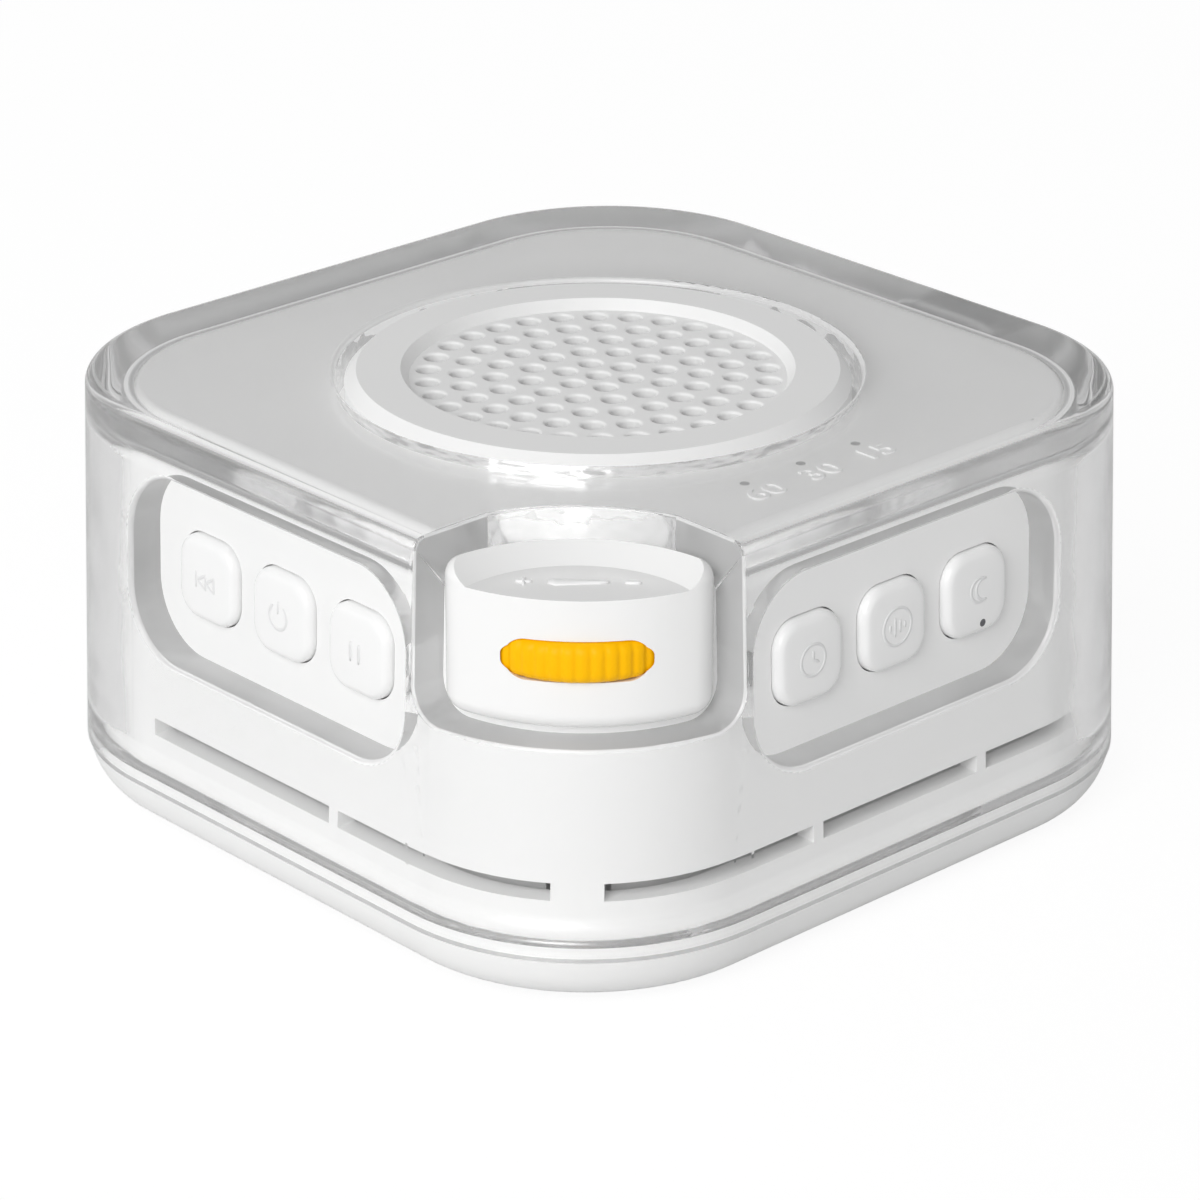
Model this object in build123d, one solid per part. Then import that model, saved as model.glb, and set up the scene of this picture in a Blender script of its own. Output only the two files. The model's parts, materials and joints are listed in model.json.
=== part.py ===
from build123d import *
import math
import os

# White noise sound machine. Millimetres, +Z up, origin at the centre of the feet's underside.
# The front corner, with the volume pod, points along (+X, -Y). The left button face looks along -Y
# and the right button face along +X, which is the left one mirrored in the corner's diagonal plane.

# ---- body outline ----
body_width = 88.0
corner_radius = 22.6
draft_angle = 2.2
cover_top_z = 44.6
seam_z = 5.4

# ---- clear cover ----
cover_wall = 3.8
cover_top_thickness = 4.2
cover_edge_radius = 1.3
cover_ceiling_radius = 1.9
cover_lip = 1.2
rim_rounding = 0.5

# ---- inner shell ----
shell_gap = 0.2
shell_wall = 2.2
shell_edge_radius = 1.7
flange_thickness = 1.2
flange_clearance = 0.15
flare_radius = 2.4
sound_hole_radius = 18.9

# ---- button windows and buttons; "across" runs along the face towards the front corner ----
window_rib = 1.3
window_height = 19.5
window_radius = 7.0
window_drop = 14.85
row_shift = -1.1
row_drop = 1.05
button_size = 8.7
button_radius = 2.8
button_pitch = 11.45
button_proud = 1.0
button_edge_radius = 0.7
button_gap = 0.15
button_travel = 0.5
button_flange_margin = 0.8
button_flange_thickness = 0.8
button_stem_radius = 1.6
button_stem_length = 0.6
lens_radius = 0.4
lens_depth = 2.0
lens_drop = 3.2
lens_shift = -0.6

# ---- tact switches and their boards ----
plunger_radius = 1.7
plunger_stand = 0.8
plunger_depth = 1.1
plunger_clearance = 0.08
switch_size = 6.0
switch_corner = 0.4
switch_height = 2.5
board_thickness = 1.2
button_board_half_length = 17.8
button_board_below = 9.7
button_board_above = 4.7
board_post_radius = 1.9
board_post_reach = 12.0
board_post_drop = 7.4
board_tab_margin = 0.2

# ---- vent slots ----
vent_low_z = 10.3
vent_height = 1.8
vent_divider = 1.3
vent_left_end = 20.1
vent_left_divider = 7.75
vent_front_rib = 4.7
vent_right_divider = 9.9
vent_rear_divider = 12.8
liner_gap = 0.15
liner_thickness = 1.2
liner_above_vents = 1.5

# ---- volume pod and thumbwheel; "out" runs along the front corner's diagonal, and an inset is
# ---- measured back from the body's outline at that corner ----
pod_front_inset = 2.8
pod_half_width = 12.3
pod_back_radius = 18.0
pod_back_inset = 14.26
pod_drop = 1.9
pod_height = 15.1
pod_front_corner = 3.2
pod_back_corner = 2.0
pod_edge_radius = 1.8
pod_wall = 1.7
pod_floor = 2.0
pod_roof = 3.7
pod_seat_gap = 0.05
ledge_depth = 1.9
ledge_radius = 12.4
ledge_back_inset = 11.06
ledge_slope = 2.6
notch_side_gap = 2.37
notch_low_gap = 0.8
notch_back_gap = 1.8
notch_corner_radius = 3.5
notch_rounding = 0.3
wheel_radius = 10.5
wheel_inset = 12.26
wheel_drop = 7.95
wheel_thickness = 3.6
wheel_rim_radius = 1.5
wheel_gap = 0.28
slot_half_width = 6.75
slot_gap = 0.25
wheel_flutes = 48
flute_radius = 0.6
flute_depth = 0.18
wheel_recess_margin = 1.0
shaft_radius = 2.0
shaft_clearance = 0.05
potentiometer_radius = 4.6
potentiometer_height = 2.3
potentiometer_gap = 0.25
potentiometer_floor = 0.5
rotor_gap = 0.1
pin_length = 2.0
pin_width = 0.8
pin_thickness = 0.6
shelf_thickness = 1.8
shelf_half_width = 8.2
shelf_back_inset = 18.06
volume_board_front_inset = 9.36
volume_screw_inset = 16.26
volume_screw_side = 6.5
wheel_screw_length = 2.8

# ---- grille and loudspeaker ----
grille_radius = 25.4
grille_hole_gap = 1.0
grille_rise = 0.2
grille_bevel_width = 1.2
grille_bevel_height = 1.2
grille_inner_radius = 19.75
grille_floor_radius = 18.95
grille_floor_depth = 1.1
grille_floor_thickness = 1.0
grille_cavity_radius = 20.0
perforation_radius = 1.15
perforation_pitch = 3.43
perforation_rings = 5
perforation_rounding = 0.3
cloth_thickness = 0.3
cloth_margin = 0.1
gasket_thickness = 0.6
speaker_radius = 20.4
surround_lip = 0.4
surround_outer = 18.5
surround_inner = 15.9
surround_film = 0.35
speaker_flange = 1.0
basket_sheet = 0.9
basket_depth = 9.6
basket_floor_radius = 15.0
basket_rim_overlap = 0.2
basket_taper = 0.8
basket_window_width = 11.0
basket_window_depth = 8.0
basket_window_height = 4.6
basket_window_rise = 2.8
basket_window_inset = 2.6
spider_seat_inner = 12.4
spider_seat_height = 1.6
spider_thickness = 0.4
spider_waves = 4
spider_wave_height = 0.5
spider_gap = 0.1
cone_thickness = 0.5
cone_depth = 5.2
cone_neck = 0.8
cone_gap = 0.05
dust_cap_rise = 1.8
dust_cap_film = 0.4
coil_inner = 6.55
coil_wall = 0.3
coil_length = 9.6
coil_reach = 0.4
winding_wall = 0.25
winding_length = 4.2
pole_radius = 6.2
top_plate_inner = 7.4
top_plate_radius = 13.5
top_plate_thickness = 1.8
magnet_inner = 8.6
magnet_radius = 14.0
magnet_thickness = 4.0
yoke_thickness = 1.8
ear_screw_gap = 0.4
ear_radius = 2.6
washer_radius = 2.2
grille_screw_out = 22.9
grille_screw_reach = 2.6
screw_end_gap = 0.4

# ---- base, feet and main fasteners ----
foot_drop = 0.6
foot_radius = 4.0
foot_pocket = 0.6
foot_gap = 0.1
foot_rounding = 0.3
foot_place = 25.5
base_floor = 2.0
base_curve_width = 3.9
base_curve_height = 6.2
base_wall_inset = 3.4
base_rim_gap = 0.1
boss_inset = 8.66
boss_radius = 2.4
boss_top_z = 20.0
base_boss_radius = 3.2
screw_radius = 1.1
screw_head_radius = 2.0
screw_head_height = 1.2
screw_head_depth = 1.6
screw_length = 13.0
thread_gap = 0.03

# ---- electronics ----
main_board_side_gap = 13.0
main_board_radius = 8.0
main_board_tab = 7.0
speaker_board_gap = 2.9
standoff_inset = 7.4
standoff_radius = 2.4
standoff_bore = 6.0
main_board_screw_length = 5.5
small_screw_radius = 0.8
small_head_radius = 1.5
small_head_height = 1.1
small_screw_length = 4.5
screw_play = 0.2
chip_width = 6.0
chip_thickness = 1.2
capacitor_radius = 2.0
capacitor_height = 3.4
part_place = 17.0
port_width = 9.0
port_height = 3.2
port_depth = 7.4
port_wall = 0.35
port_gap = 0.2
port_back = 1.2
port_corner_relief = 0.05
tongue_width = 6.5
tongue_thickness = 0.7
port_window_width = 13.0
port_window_height = 7.4
port_window_radius = 3.0
battery_end_gap = 6.0
battery_side_gap = 14.0
battery_board_gap = 3.7
battery_edge_radius = 1.5
foam_thickness = 0.5
foam_inset = 5.0
cradle_gap = 0.3
cradle_thickness = 1.2
cradle_length = 35.0
cradle_rise = 5.0
wire_radius = 0.5
wire_spacing = 1.6
wire_gap = 0.05
wire_bend_share = 0.45
connector_width = 6.0
connector_depth = 4.0
connector_height = 2.2
speaker_lead_x = -23.5
speaker_lead_drop = 4.6
battery_connector_gap = 2.8
indicator_x = 29.45
indicator_pitch = 7.5
indicator_centre_y = -0.85
light_pipe_radius = 0.5
light_pipe_gap = 0.02
indicator_board_width = 3.2
indicator_board_thickness = 1.0
indicator_board_drop = 3.0
indicator_light_length = 1.6
indicator_light_width = 1.0
indicator_light_height = 0.8
indicator_light_gap = 0.1
indicator_post_reach = 4.6
indicator_post_radius = 1.5
past = 1.0  # how far a cutting tool runs beyond the faces it opens
near = 0.02  # how close an edge's middle lies to the place it is looked for

# ---- heights worked out from the sizes above ----
base_low_z = foot_drop
floor_top_z = base_low_z + base_floor
base_rim_z = seam_z - base_rim_gap
flange_top_z = base_rim_z + flange_thickness
cover_ceiling_z = cover_top_z - cover_top_thickness
shell_top_z = cover_ceiling_z - shell_gap
shell_ceiling_z = shell_top_z - shell_wall
window_z = cover_top_z - window_drop
button_z = window_z - row_drop
post_z = button_z - board_post_drop
grille_top_z = cover_top_z + grille_rise
grille_floor_z = grille_top_z - grille_floor_depth
speaker_face_z = shell_ceiling_z - gasket_thickness - surround_lip
basket_floor_z = speaker_face_z - basket_depth
spider_z = basket_floor_z + spider_seat_height
top_plate_z = basket_floor_z - basket_sheet
magnet_z = top_plate_z - top_plate_thickness
yoke_z = magnet_z - magnet_thickness
main_board_top_z = yoke_z - yoke_thickness - speaker_board_gap
main_board_z = main_board_top_z - board_thickness
port_z = main_board_top_z + port_height / 2
screw_seat_z = base_low_z + screw_head_depth
battery_low_z = floor_top_z + foam_thickness
battery_height = main_board_z - battery_board_gap - battery_low_z
battery_lead_z = battery_low_z + battery_height / 2
speaker_lead_z = speaker_face_z - speaker_lead_drop
pod_top_z = cover_top_z - pod_drop
pod_low_z = pod_top_z - pod_height
ledge_z = pod_top_z - ledge_depth
notch_low_z = pod_low_z - notch_low_gap
wheel_mid_z = pod_top_z - wheel_drop
wheel_low_z = wheel_mid_z - wheel_thickness / 2
wheel_high_z = wheel_mid_z + wheel_thickness / 2
volume_board_top_z = wheel_low_z - potentiometer_gap - potentiometer_height
volume_board_z = volume_board_top_z - board_thickness
indicator_board_z = shell_ceiling_z - indicator_board_drop
indicator_top_z = indicator_board_z + indicator_board_thickness
indicator_span = indicator_pitch + indicator_post_reach
ear_screw_end_z = shell_top_z - screw_end_gap

# ---- places worked out from the sizes above ----
shell_inset = cover_wall + shell_gap
shell_inner_inset = shell_inset + shell_wall
corner_centre = body_width / 2 - corner_radius
corner_out = corner_centre * math.sqrt(2)
corner_front = corner_out + corner_radius
boss_out = corner_front - boss_inset
pod_front_radius = corner_radius - pod_front_inset
pod_corner_out = corner_out + math.sqrt(pod_front_radius ** 2 - pod_half_width ** 2)
pod_back_out = corner_front - pod_back_inset
pod_back_centre = pod_back_out + pod_back_radius
ledge_back_out = corner_front - ledge_back_inset
wheel_out = corner_front - wheel_inset
shelf_back_out = corner_front - shelf_back_inset
volume_board_front_out = corner_front - volume_board_front_inset
volume_screw_out = corner_front - volume_screw_inset
notch_side = (pod_corner_out - pod_half_width) / math.sqrt(2) - notch_side_gap
window_width = notch_side - window_rib + corner_centre
window_across = window_width / 2 - corner_centre
row_across = window_across + row_shift
ear_screw_out = speaker_radius + washer_radius + ear_screw_gap
main_board_width = body_width - 2 * main_board_side_gap
standoff_place = main_board_width / 2 - standoff_inset
battery_length = main_board_width - 2 * battery_end_gap
battery_width = main_board_width - 2 * battery_side_gap
battery_connector_x = battery_length / 2 + battery_connector_gap
diagonal_plane = Plane(origin=(0, 0, 0), z_dir=(1, 1, 0))
front_corner = Rot(0, 0, -45)


# ---- drawing helpers ----
def lean(z):
    """How far a side face has moved inwards at a height, because of its draft."""
    return (z - seam_z) * math.tan(math.radians(draft_angle))


def side_distance(inset, z):
    """Distance from the centre to a side face that is offset inwards, at a height."""
    return body_width / 2 - inset - lean(z)


def column(plan, low, high):
    """Upright prism on a plan, between two heights."""
    return Pos(0, 0, low) * extrude(plan, amount=high - low)


def disc(radius, low, high):
    """Upright round plate about the Z axis."""
    return column(Circle(radius), low, high)


def ring(outer, inner, low, high):
    """Upright tube about the Z axis."""
    return column(Circle(outer) - Circle(inner), low, high)


def turned(*points):
    """Solid of revolution about the Z axis from a closed outline of radius and height."""
    outline = Polyline(*[(radius, 0, height) for radius, height in points], close=True)
    return revolve(make_face(outline), axis=Axis.Z)


def rounded_square(inset, z):
    """The body's outline at a height, offset inwards."""
    width = 2 * side_distance(inset, z)
    return RectangleRounded(width, width, corner_radius - inset - lean(z))


def envelope(inset, low, high):
    """The body's leaning rounded square, offset inwards, between two heights."""
    return Pos(0, 0, low) * extrude(rounded_square(inset, low), amount=high - low, taper=draft_angle)


def inset_of(point):
    """How far inside the body's outline a point lies at its own height."""
    along_x = max(abs(point.X) - corner_centre, 0)
    along_y = max(abs(point.Y) - corner_centre, 0)
    return corner_radius - lean(point.Z) - math.hypot(along_x, along_y)


def edges_at(part, z, inset):
    """Edges of the loop that lies at a height and a given distance inside the outline."""
    found = [e for e in part.edges() if abs((e @ 0.5).Z - z) < near]
    return [e for e in found if abs(inset_of(e @ 0.5) - inset) < near]


def circles_at(edges, radius, z):
    """Round edges of a radius at a height."""
    return [e for e in edges if e.geom_type == GeomType.CIRCLE
            and abs(e.radius - radius) < near and abs((e @ 0.5).Z - z) < near]


def face_prism(plan, across, height, inner, outer):
    """Prism through the left face: a plan drawn on it, between two distances from the centre."""
    return Pos(across, -inner, height) * extrude(Plane.XZ * plan, amount=outer - inner)


def rear_prism(plan):
    """Prism through the rear face's wall at the port's height."""
    return Pos(0, body_width, port_z) * extrude(Plane.XZ * plan, amount=body_width - corner_centre)


def port_room():
    """Prism of the port's sleeve and the gap round it, from outside inwards."""
    return rear_prism(RectangleRounded(port_width + 2 * port_gap, port_height + 2 * port_gap,
                                       port_height / 2 + port_gap / 2))


def on_right_face(part):
    """The left face's piece, mirrored onto the right face."""
    return mirror(part, about=diagonal_plane)


def on_both_faces(part):
    """A left face's piece together with its mirror image on the right face."""
    return [part, on_right_face(part)]


def square_places(step):
    """The four corners of a square about the centre, at a distance along X and along Y."""
    return [(x, y) for x in (-step, step) for y in (-step, step)]


def diagonal_places(out):
    """The four places on the diagonals at a distance from the centre."""
    return square_places(out / math.sqrt(2))


def quarter_places(out):
    """The four places on the X and Y axes at a distance from the centre."""
    return [(out, 0), (0, out), (-out, 0), (0, -out)]


def button_places():
    """Places of one face's three buttons along it, from its far end to the front corner."""
    return [row_across + step * button_pitch for step in (-1, 0, 1)]


def screw(head_z, radius, head_radius, head_height, length, upwards):
    """Pan-head screw on the Z axis: bearing face at head_z, slot of half the shank's radius."""
    way = 1 if upwards else -1
    head = Pos(0, 0, head_z - way * head_height / 2) * Cylinder(head_radius, head_height)
    shank = Pos(0, 0, head_z + way * length / 2) * Cylinder(radius, length)
    slot = Pos(0, 0, head_z - way * head_height) * Box(head_radius + radius / 2, radius / 2, head_height)
    return head + shank - slot


def small_screw(head_z, length, upwards):
    """One of the small pan-head screws."""
    return screw(head_z, small_screw_radius, small_head_radius, small_head_height, length, upwards)


def board_post_places():
    """Places along the face of the two posts that carry its button board."""
    return [row_across - board_post_reach, row_across + board_post_reach]


# ---- distances of the button train from the centre, worked out at the buttons' height ----
flange_high_z = button_z + button_size / 2 + button_flange_margin
button_back = side_distance(shell_inner_inset, flange_high_z) - button_gap - button_flange_thickness
stem_tip = button_back - button_stem_length
switch_face = stem_tip - plunger_stand
button_board_face = switch_face - switch_height
port_mouth = side_distance(shell_inset, main_board_top_z + port_height)


# ---- clear cover ----
def notch_plan():
    """Plan of the cover's gap round the pod: square to both faces, with a bowed back edge."""
    back = Pos(pod_back_centre, 0) * Circle(pod_back_radius + notch_back_gap)
    beyond = Pos(pod_back_centre + body_width / 2, 0) * Rectangle(body_width, body_width)
    middle = notch_side + body_width / 2
    square = Pos(middle, -middle) * Rectangle(body_width, body_width)
    return square & (front_corner * (back + beyond))


def notch_cutter():
    """Gap round the pod, its lower corners rounded as seen square to each face."""
    upright = column(notch_plan(), notch_low_z, cover_top_z + past)
    outline = RectangleRounded(2 * body_width, 2 * body_width, notch_corner_radius)
    tunnel = face_prism(outline, notch_side + body_width, notch_low_z + body_width, 0, body_width)
    return upright & tunnel & on_right_face(tunnel)


def notch_rims(body):
    """Outside edges of the gap round the pod, on the side faces and on the cover's top."""
    reach = notch_side - near
    in_corner = [e for e in body.edges() if (e @ 0.5).X > reach and (e @ 0.5).Y < -reach]
    on_sides = [e for e in in_corner
                if abs(inset_of(e @ 0.5)) < near and (e @ 0.5).Z > notch_low_z - near]
    return on_sides + circles_at(in_corner, pod_back_radius + notch_back_gap, cover_top_z)


def make_clear_cover():
    """Thick clear shell over the inner shell, open below, with its windows and openings."""
    body = envelope(0, seam_z, cover_top_z)
    body = fillet(edges_at(body, cover_top_z, 0), cover_edge_radius)
    cavity = envelope(cover_wall, flange_top_z - past / 2, cover_ceiling_z)
    cavity = fillet(edges_at(cavity, cover_ceiling_z, cover_wall), cover_ceiling_radius)
    pocket = cavity + envelope(cover_lip, seam_z - past, flange_top_z)
    body -= fillet(edges_at(pocket, flange_top_z, cover_wall), flare_radius)
    outline = RectangleRounded(window_width, window_height, window_radius)
    window = face_prism(outline, window_across, window_z, corner_centre, body_width)
    port = rear_prism(RectangleRounded(port_window_width, port_window_height, port_window_radius))
    grille_hole = disc(grille_radius + grille_hole_gap, cover_ceiling_z - past, cover_top_z + past)
    body -= on_both_faces(window) + [port, grille_hole]
    body = fillet(outer_rims(body), rim_rounding) - notch_cutter()
    return fillet(notch_rims(body), notch_rounding)


def outer_rims(body):
    """Outside edges of the windows and of the grille's hole."""
    rims = [e for e in body.edges() if abs(inset_of(e @ 0.5)) < near and is_rim(e @ 0.5)]
    return rims + circles_at(body.edges(), grille_radius + grille_hole_gap, cover_top_z)


def is_rim(point):
    """Whether a point of the flat side faces lies within the height band of the openings."""
    in_band = seam_z + near < point.Z < cover_top_z - cover_edge_radius - near
    return in_band and not is_corner(point)


def is_corner(point):
    """Whether a point lies on a rounded corner of the outline."""
    return min(abs(point.X), abs(point.Y)) > corner_centre - near


# ---- inner shell ----
def vent_cutters():
    """The vent slots: a band through the wall, less the ribs between the slots."""
    mid_z = vent_low_z + vent_height / 2
    outer = rounded_square(shell_inset - past, vent_low_z)
    inner = rounded_square(shell_inner_inset + past, vent_low_z)
    band = column(outer - inner, vent_low_z, vent_low_z + vent_height)
    half, tall = body_width / 2, 2 * vent_height
    ribs = [
        Pos(-half - vent_left_end, 0, mid_z) * Box(body_width, 2 * body_width, tall),
        Pos(vent_left_end - half, half, mid_z) * Box(body_width, body_width, tall),
        Pos(vent_left_divider, -half, mid_z) * Box(vent_divider, body_width, tall),
        Pos(half, -vent_right_divider, mid_z) * Box(body_width, vent_divider, tall),
        Pos(half, vent_rear_divider, mid_z) * Box(body_width, vent_divider, tall),
        front_corner * Pos(half, 0, mid_z) * Box(body_width, vent_front_rib, tall),
    ]
    return band - ribs


def board_posts():
    """Posts on the left wall that carry its button board, with their screw holes."""
    outer = side_distance(shell_inset + shell_wall / 2, button_z)
    posts, holes = [], []
    for across in board_post_places():
        posts.append(face_prism(Circle(board_post_radius), across, post_z, button_board_face, outer))
        holes.append(face_prism(Circle(small_screw_radius + thread_gap), across, post_z,
                                button_board_face, button_board_face + small_screw_length))
    return posts, holes


def volume_shelf():
    """Bracket in the front corner that carries the volume board, joined to the corner's wall."""
    length = corner_out + corner_radius - shell_inset - shelf_back_out
    plate = Pos(shelf_back_out + length / 2, 0) * Rectangle(length, 2 * shelf_half_width)
    shelf = front_corner * column(plate, volume_board_z - shelf_thickness, volume_board_z)
    return shelf & envelope(shell_inset + shell_wall / 2, flange_top_z, shell_top_z)


def make_inner_shell():
    """White shell under the cover: walls, top plate, flange, bosses, posts and every opening."""
    body = envelope(shell_inset, base_rim_z, shell_top_z)
    body = fillet(edges_at(body, shell_top_z, shell_inset), shell_edge_radius)
    body += envelope(cover_lip + flange_clearance, base_rim_z, flange_top_z)
    body = fillet(edges_at(body, flange_top_z, shell_inset), flare_radius)
    body -= envelope(shell_inner_inset, base_rim_z - past, shell_ceiling_z)
    bosses = [Pos(x, y, 0) * disc(boss_radius, base_rim_z, boss_top_z) for x, y in diagonal_places(boss_out)]
    bore = disc(screw_radius + thread_gap, base_rim_z - past, floor_top_z + screw_length)
    boss_holes = [Pos(x, y, 0) * bore for x, y in diagonal_places(boss_out)]
    posts, post_holes = board_posts()
    body += bosses + [volume_shelf()] + indicator_posts()
    for post in posts:
        body += on_both_faces(post)
    body -= boss_holes + shell_openings() + [vent_cutters()]
    for hole in post_holes:
        body -= on_both_faces(hole)
    return body


def shell_openings():
    """Button holes, sound hole, screw holes, pinholes, thumbwheel window and port hole."""
    size = button_size + 2 * button_gap
    outline = RectangleRounded(size, size, button_radius + button_gap)
    inner = side_distance(shell_inner_inset, button_z) - past
    thread = small_screw_radius + thread_gap
    through_top = (shell_ceiling_z - past, shell_top_z + past)
    cuts = [disc(sound_hole_radius, *through_top)]
    for across in button_places():
        cuts += on_both_faces(face_prism(outline, across, button_z, inner, body_width / 2))
    wheel_slot = Box(body_width, 2 * (wheel_radius + 2 * wheel_gap), wheel_thickness + 4 * wheel_gap)
    cuts.append(front_corner * Pos(wheel_out + body_width / 2, 0, wheel_mid_z) * wheel_slot)
    cuts.append(port_room())
    pinhole = disc(light_pipe_radius, *through_top)
    cuts += [Pos(indicator_x, y, 0) * pinhole for y in indicator_places()]
    cuts += [Pos(x, y, 0) * disc(small_screw_radius + screw_play, *through_top)
             for x, y in quarter_places(grille_screw_out)]
    cuts += [Pos(x, y, 0) * disc(thread, shell_ceiling_z - past, ear_screw_end_z + thread_gap)
             for x, y in diagonal_places(ear_screw_out)]
    cuts += [Pos(indicator_x, y, 0) * disc(thread, indicator_top_z - past, shell_ceiling_z)
             for y in indicator_post_places()]
    cuts += [place * disc(thread, volume_board_z - shelf_thickness - past, volume_board_z + past)
             for place in volume_screw_places()]
    return cuts


# ---- buttons and their switches, drawn on the left face ----
def make_button(across):
    """Push button: leaning front face, cap, flange behind the shell's wall and stem."""
    outline = RectangleRounded(button_size, button_size, button_radius)
    cap = face_prism(outline, across, button_z, button_back, body_width / 2)
    cap = cap & envelope(shell_inset - button_proud, flange_top_z, shell_top_z)
    front = [e for e in cap.edges() if abs(inset_of(e @ 0.5) - shell_inset + button_proud) < near]
    cap = fillet(front, button_edge_radius)
    wide = button_size + 2 * button_flange_margin
    flange = face_prism(RectangleRounded(wide, wide, button_radius), across, button_z, button_back,
                        body_width / 2) & envelope(shell_inner_inset + button_gap, flange_top_z, shell_top_z)
    stem = face_prism(Circle(button_stem_radius), across, button_z, stem_tip, button_back)
    return cap + flange + stem


def make_lens(across, radius):
    """Little light pipe through a button's face, flush with it."""
    plug = face_prism(Circle(radius), across + lens_shift, button_z - lens_drop,
                      side_distance(shell_inset, button_z) - lens_depth, body_width / 2)
    return plug & envelope(shell_inset - button_proud, flange_top_z, shell_top_z)


def make_plunger(across):
    """Switch plunger, from the button's stem into the switch's body."""
    return face_prism(Circle(plunger_radius), across, button_z, switch_face - plunger_depth, stem_tip)


def make_switch(across):
    """Switch body on its board, with the bore that its plunger slides in."""
    outline = RectangleRounded(switch_size, switch_size, switch_corner)
    body = face_prism(outline, across, button_z, button_board_face, switch_face)
    bore_end = switch_face - plunger_depth - button_travel - plunger_clearance
    bore = face_prism(Circle(plunger_radius + plunger_clearance), across, button_z, bore_end, switch_face)
    return body - bore


def make_button_board():
    """Upright circuit board behind one face's switches, with two screw holes."""
    plan = Rectangle(2 * button_board_half_length, button_board_below + button_board_above)
    middle_z = button_z + (button_board_above - button_board_below) / 2
    back = button_board_face - board_thickness
    board = face_prism(plan, row_across, middle_z, back, button_board_face)
    hole = Circle(small_screw_radius + screw_play)
    return board - [face_prism(hole, across, post_z, back, button_board_face)
                    for across in board_post_places()]


def button_board_screws():
    """The left board's two screws; their heads bear on the board's inner side."""
    one = Rot(90, 0, 0) * small_screw(0, board_thickness + small_screw_length - screw_end_gap, True)
    return [Pos(across, board_thickness - button_board_face, post_z) * one for across in board_post_places()]


# ---- volume pod, thumbwheel and potentiometer, drawn along +X and turned to the front corner ----
def pod_plan(shrink):
    """Pod's lower plan: bowed front concentric with the body's corner, and straight sides."""
    front = Pos(corner_out, 0) * Circle(pod_front_radius - shrink)
    sides = Pos(pod_back_out + body_width / 2, 0) * Rectangle(body_width, 2 * (pod_half_width - shrink))
    return front & sides


def pod_top_plan():
    """Pod's plan above the shell: the lower plan with its back edge bowed."""
    return pod_plan(0) & Pos(pod_back_centre, 0) * Circle(pod_back_radius)


def upright_edges(part, front):
    """Upright edges of a pod block, either those on the bowed front or those behind."""
    return [e for e in part.edges().filter_by(Axis.Z) if (abs((e @ 0.5).X - pod_corner_out) < near) == front]


def pod_block():
    """Pod's outer form: a lower block against the shell and an upper one over its top."""
    lower = column(pod_plan(0), pod_low_z, shell_top_z)
    lower = fillet(upright_edges(lower, True), pod_front_corner)
    below = [e for e in lower.edges().group_by(Axis.Z)[0] if (e @ 0.5).X > pod_back_out + near]
    lower = fillet(below, pod_edge_radius)
    upper = column(pod_top_plan(), wheel_high_z, pod_top_z)
    upper = fillet(upright_edges(upper, True), pod_front_corner)
    upper = fillet(upright_edges(upper, False), pod_back_corner)
    return lower + fillet(upper.edges().group_by(Axis.Z)[-1], pod_edge_radius)


def wheel_blank(grow):
    """Thumbwheel's outer form with its rounded rim, grown all round for a clearance."""
    blank = Cylinder(wheel_radius + grow, wheel_thickness + 2 * grow)
    rims = blank.edges().filter_by(GeomType.CIRCLE)
    return Pos(wheel_out, 0, wheel_mid_z) * fillet(rims, wheel_rim_radius + grow)


def make_volume_pod():
    """White housing round the thumbwheel, seated on the shell's corner and on its top."""
    body = pod_block()
    slope = turned((0, ledge_z), (ledge_radius, ledge_z),
                   (ledge_radius + ledge_slope, pod_top_z), (0, pod_top_z))
    body -= Pos(ledge_back_out + ledge_radius, 0, 0) * slope
    cavity_plan = pod_plan(pod_wall)
    cavity_plan += Pos(shelf_back_out, 0) * Rectangle(2 * pod_wall + pod_back_inset,
                                                      2 * (pod_half_width - pod_wall))
    cavity = column(cavity_plan, pod_low_z + pod_floor, pod_top_z - pod_roof)
    slot = SlotOverall(2 * slot_half_width, wheel_thickness + 2 * slot_gap)
    slot = Pos(wheel_out, 0, wheel_mid_z) * extrude(Plane.YZ * slot, amount=corner_radius)
    body = front_corner * (body - cavity - wheel_blank(wheel_gap) - slot)
    seat = envelope(shell_inset - pod_seat_gap, flange_top_z, shell_top_z + pod_seat_gap)
    return body - seat


def make_volume_wheel():
    """Orange thumbwheel with a fluted rim, a bore for its shaft and a recess for its screw."""
    wheel = wheel_blank(0)
    flute = Cylinder(flute_radius, 2 * wheel_thickness)
    flutes = [Pos(wheel_out, 0, wheel_mid_z) * loc * flute
              for loc in PolarLocations(wheel_radius + flute_radius - flute_depth, wheel_flutes)]
    bore = Pos(wheel_out, 0, 0) * disc(shaft_radius, wheel_low_z - past, wheel_high_z + past)
    recess = Pos(wheel_out, 0, 0) * disc(small_head_radius + wheel_recess_margin,
                                         wheel_high_z - small_head_height, wheel_high_z + past)
    return front_corner * (wheel - flutes - bore - recess)


def make_volume_shaft():
    """Potentiometer's rotor and shaft, up through the thumbwheel."""
    top = wheel_high_z - small_head_height
    shaft = disc(shaft_radius, volume_board_top_z + potentiometer_floor + rotor_gap, top)
    shaft -= disc(small_screw_radius + thread_gap, top - wheel_screw_length - rotor_gap, top)
    return front_corner * Pos(wheel_out, 0, 0) * shaft


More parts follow.
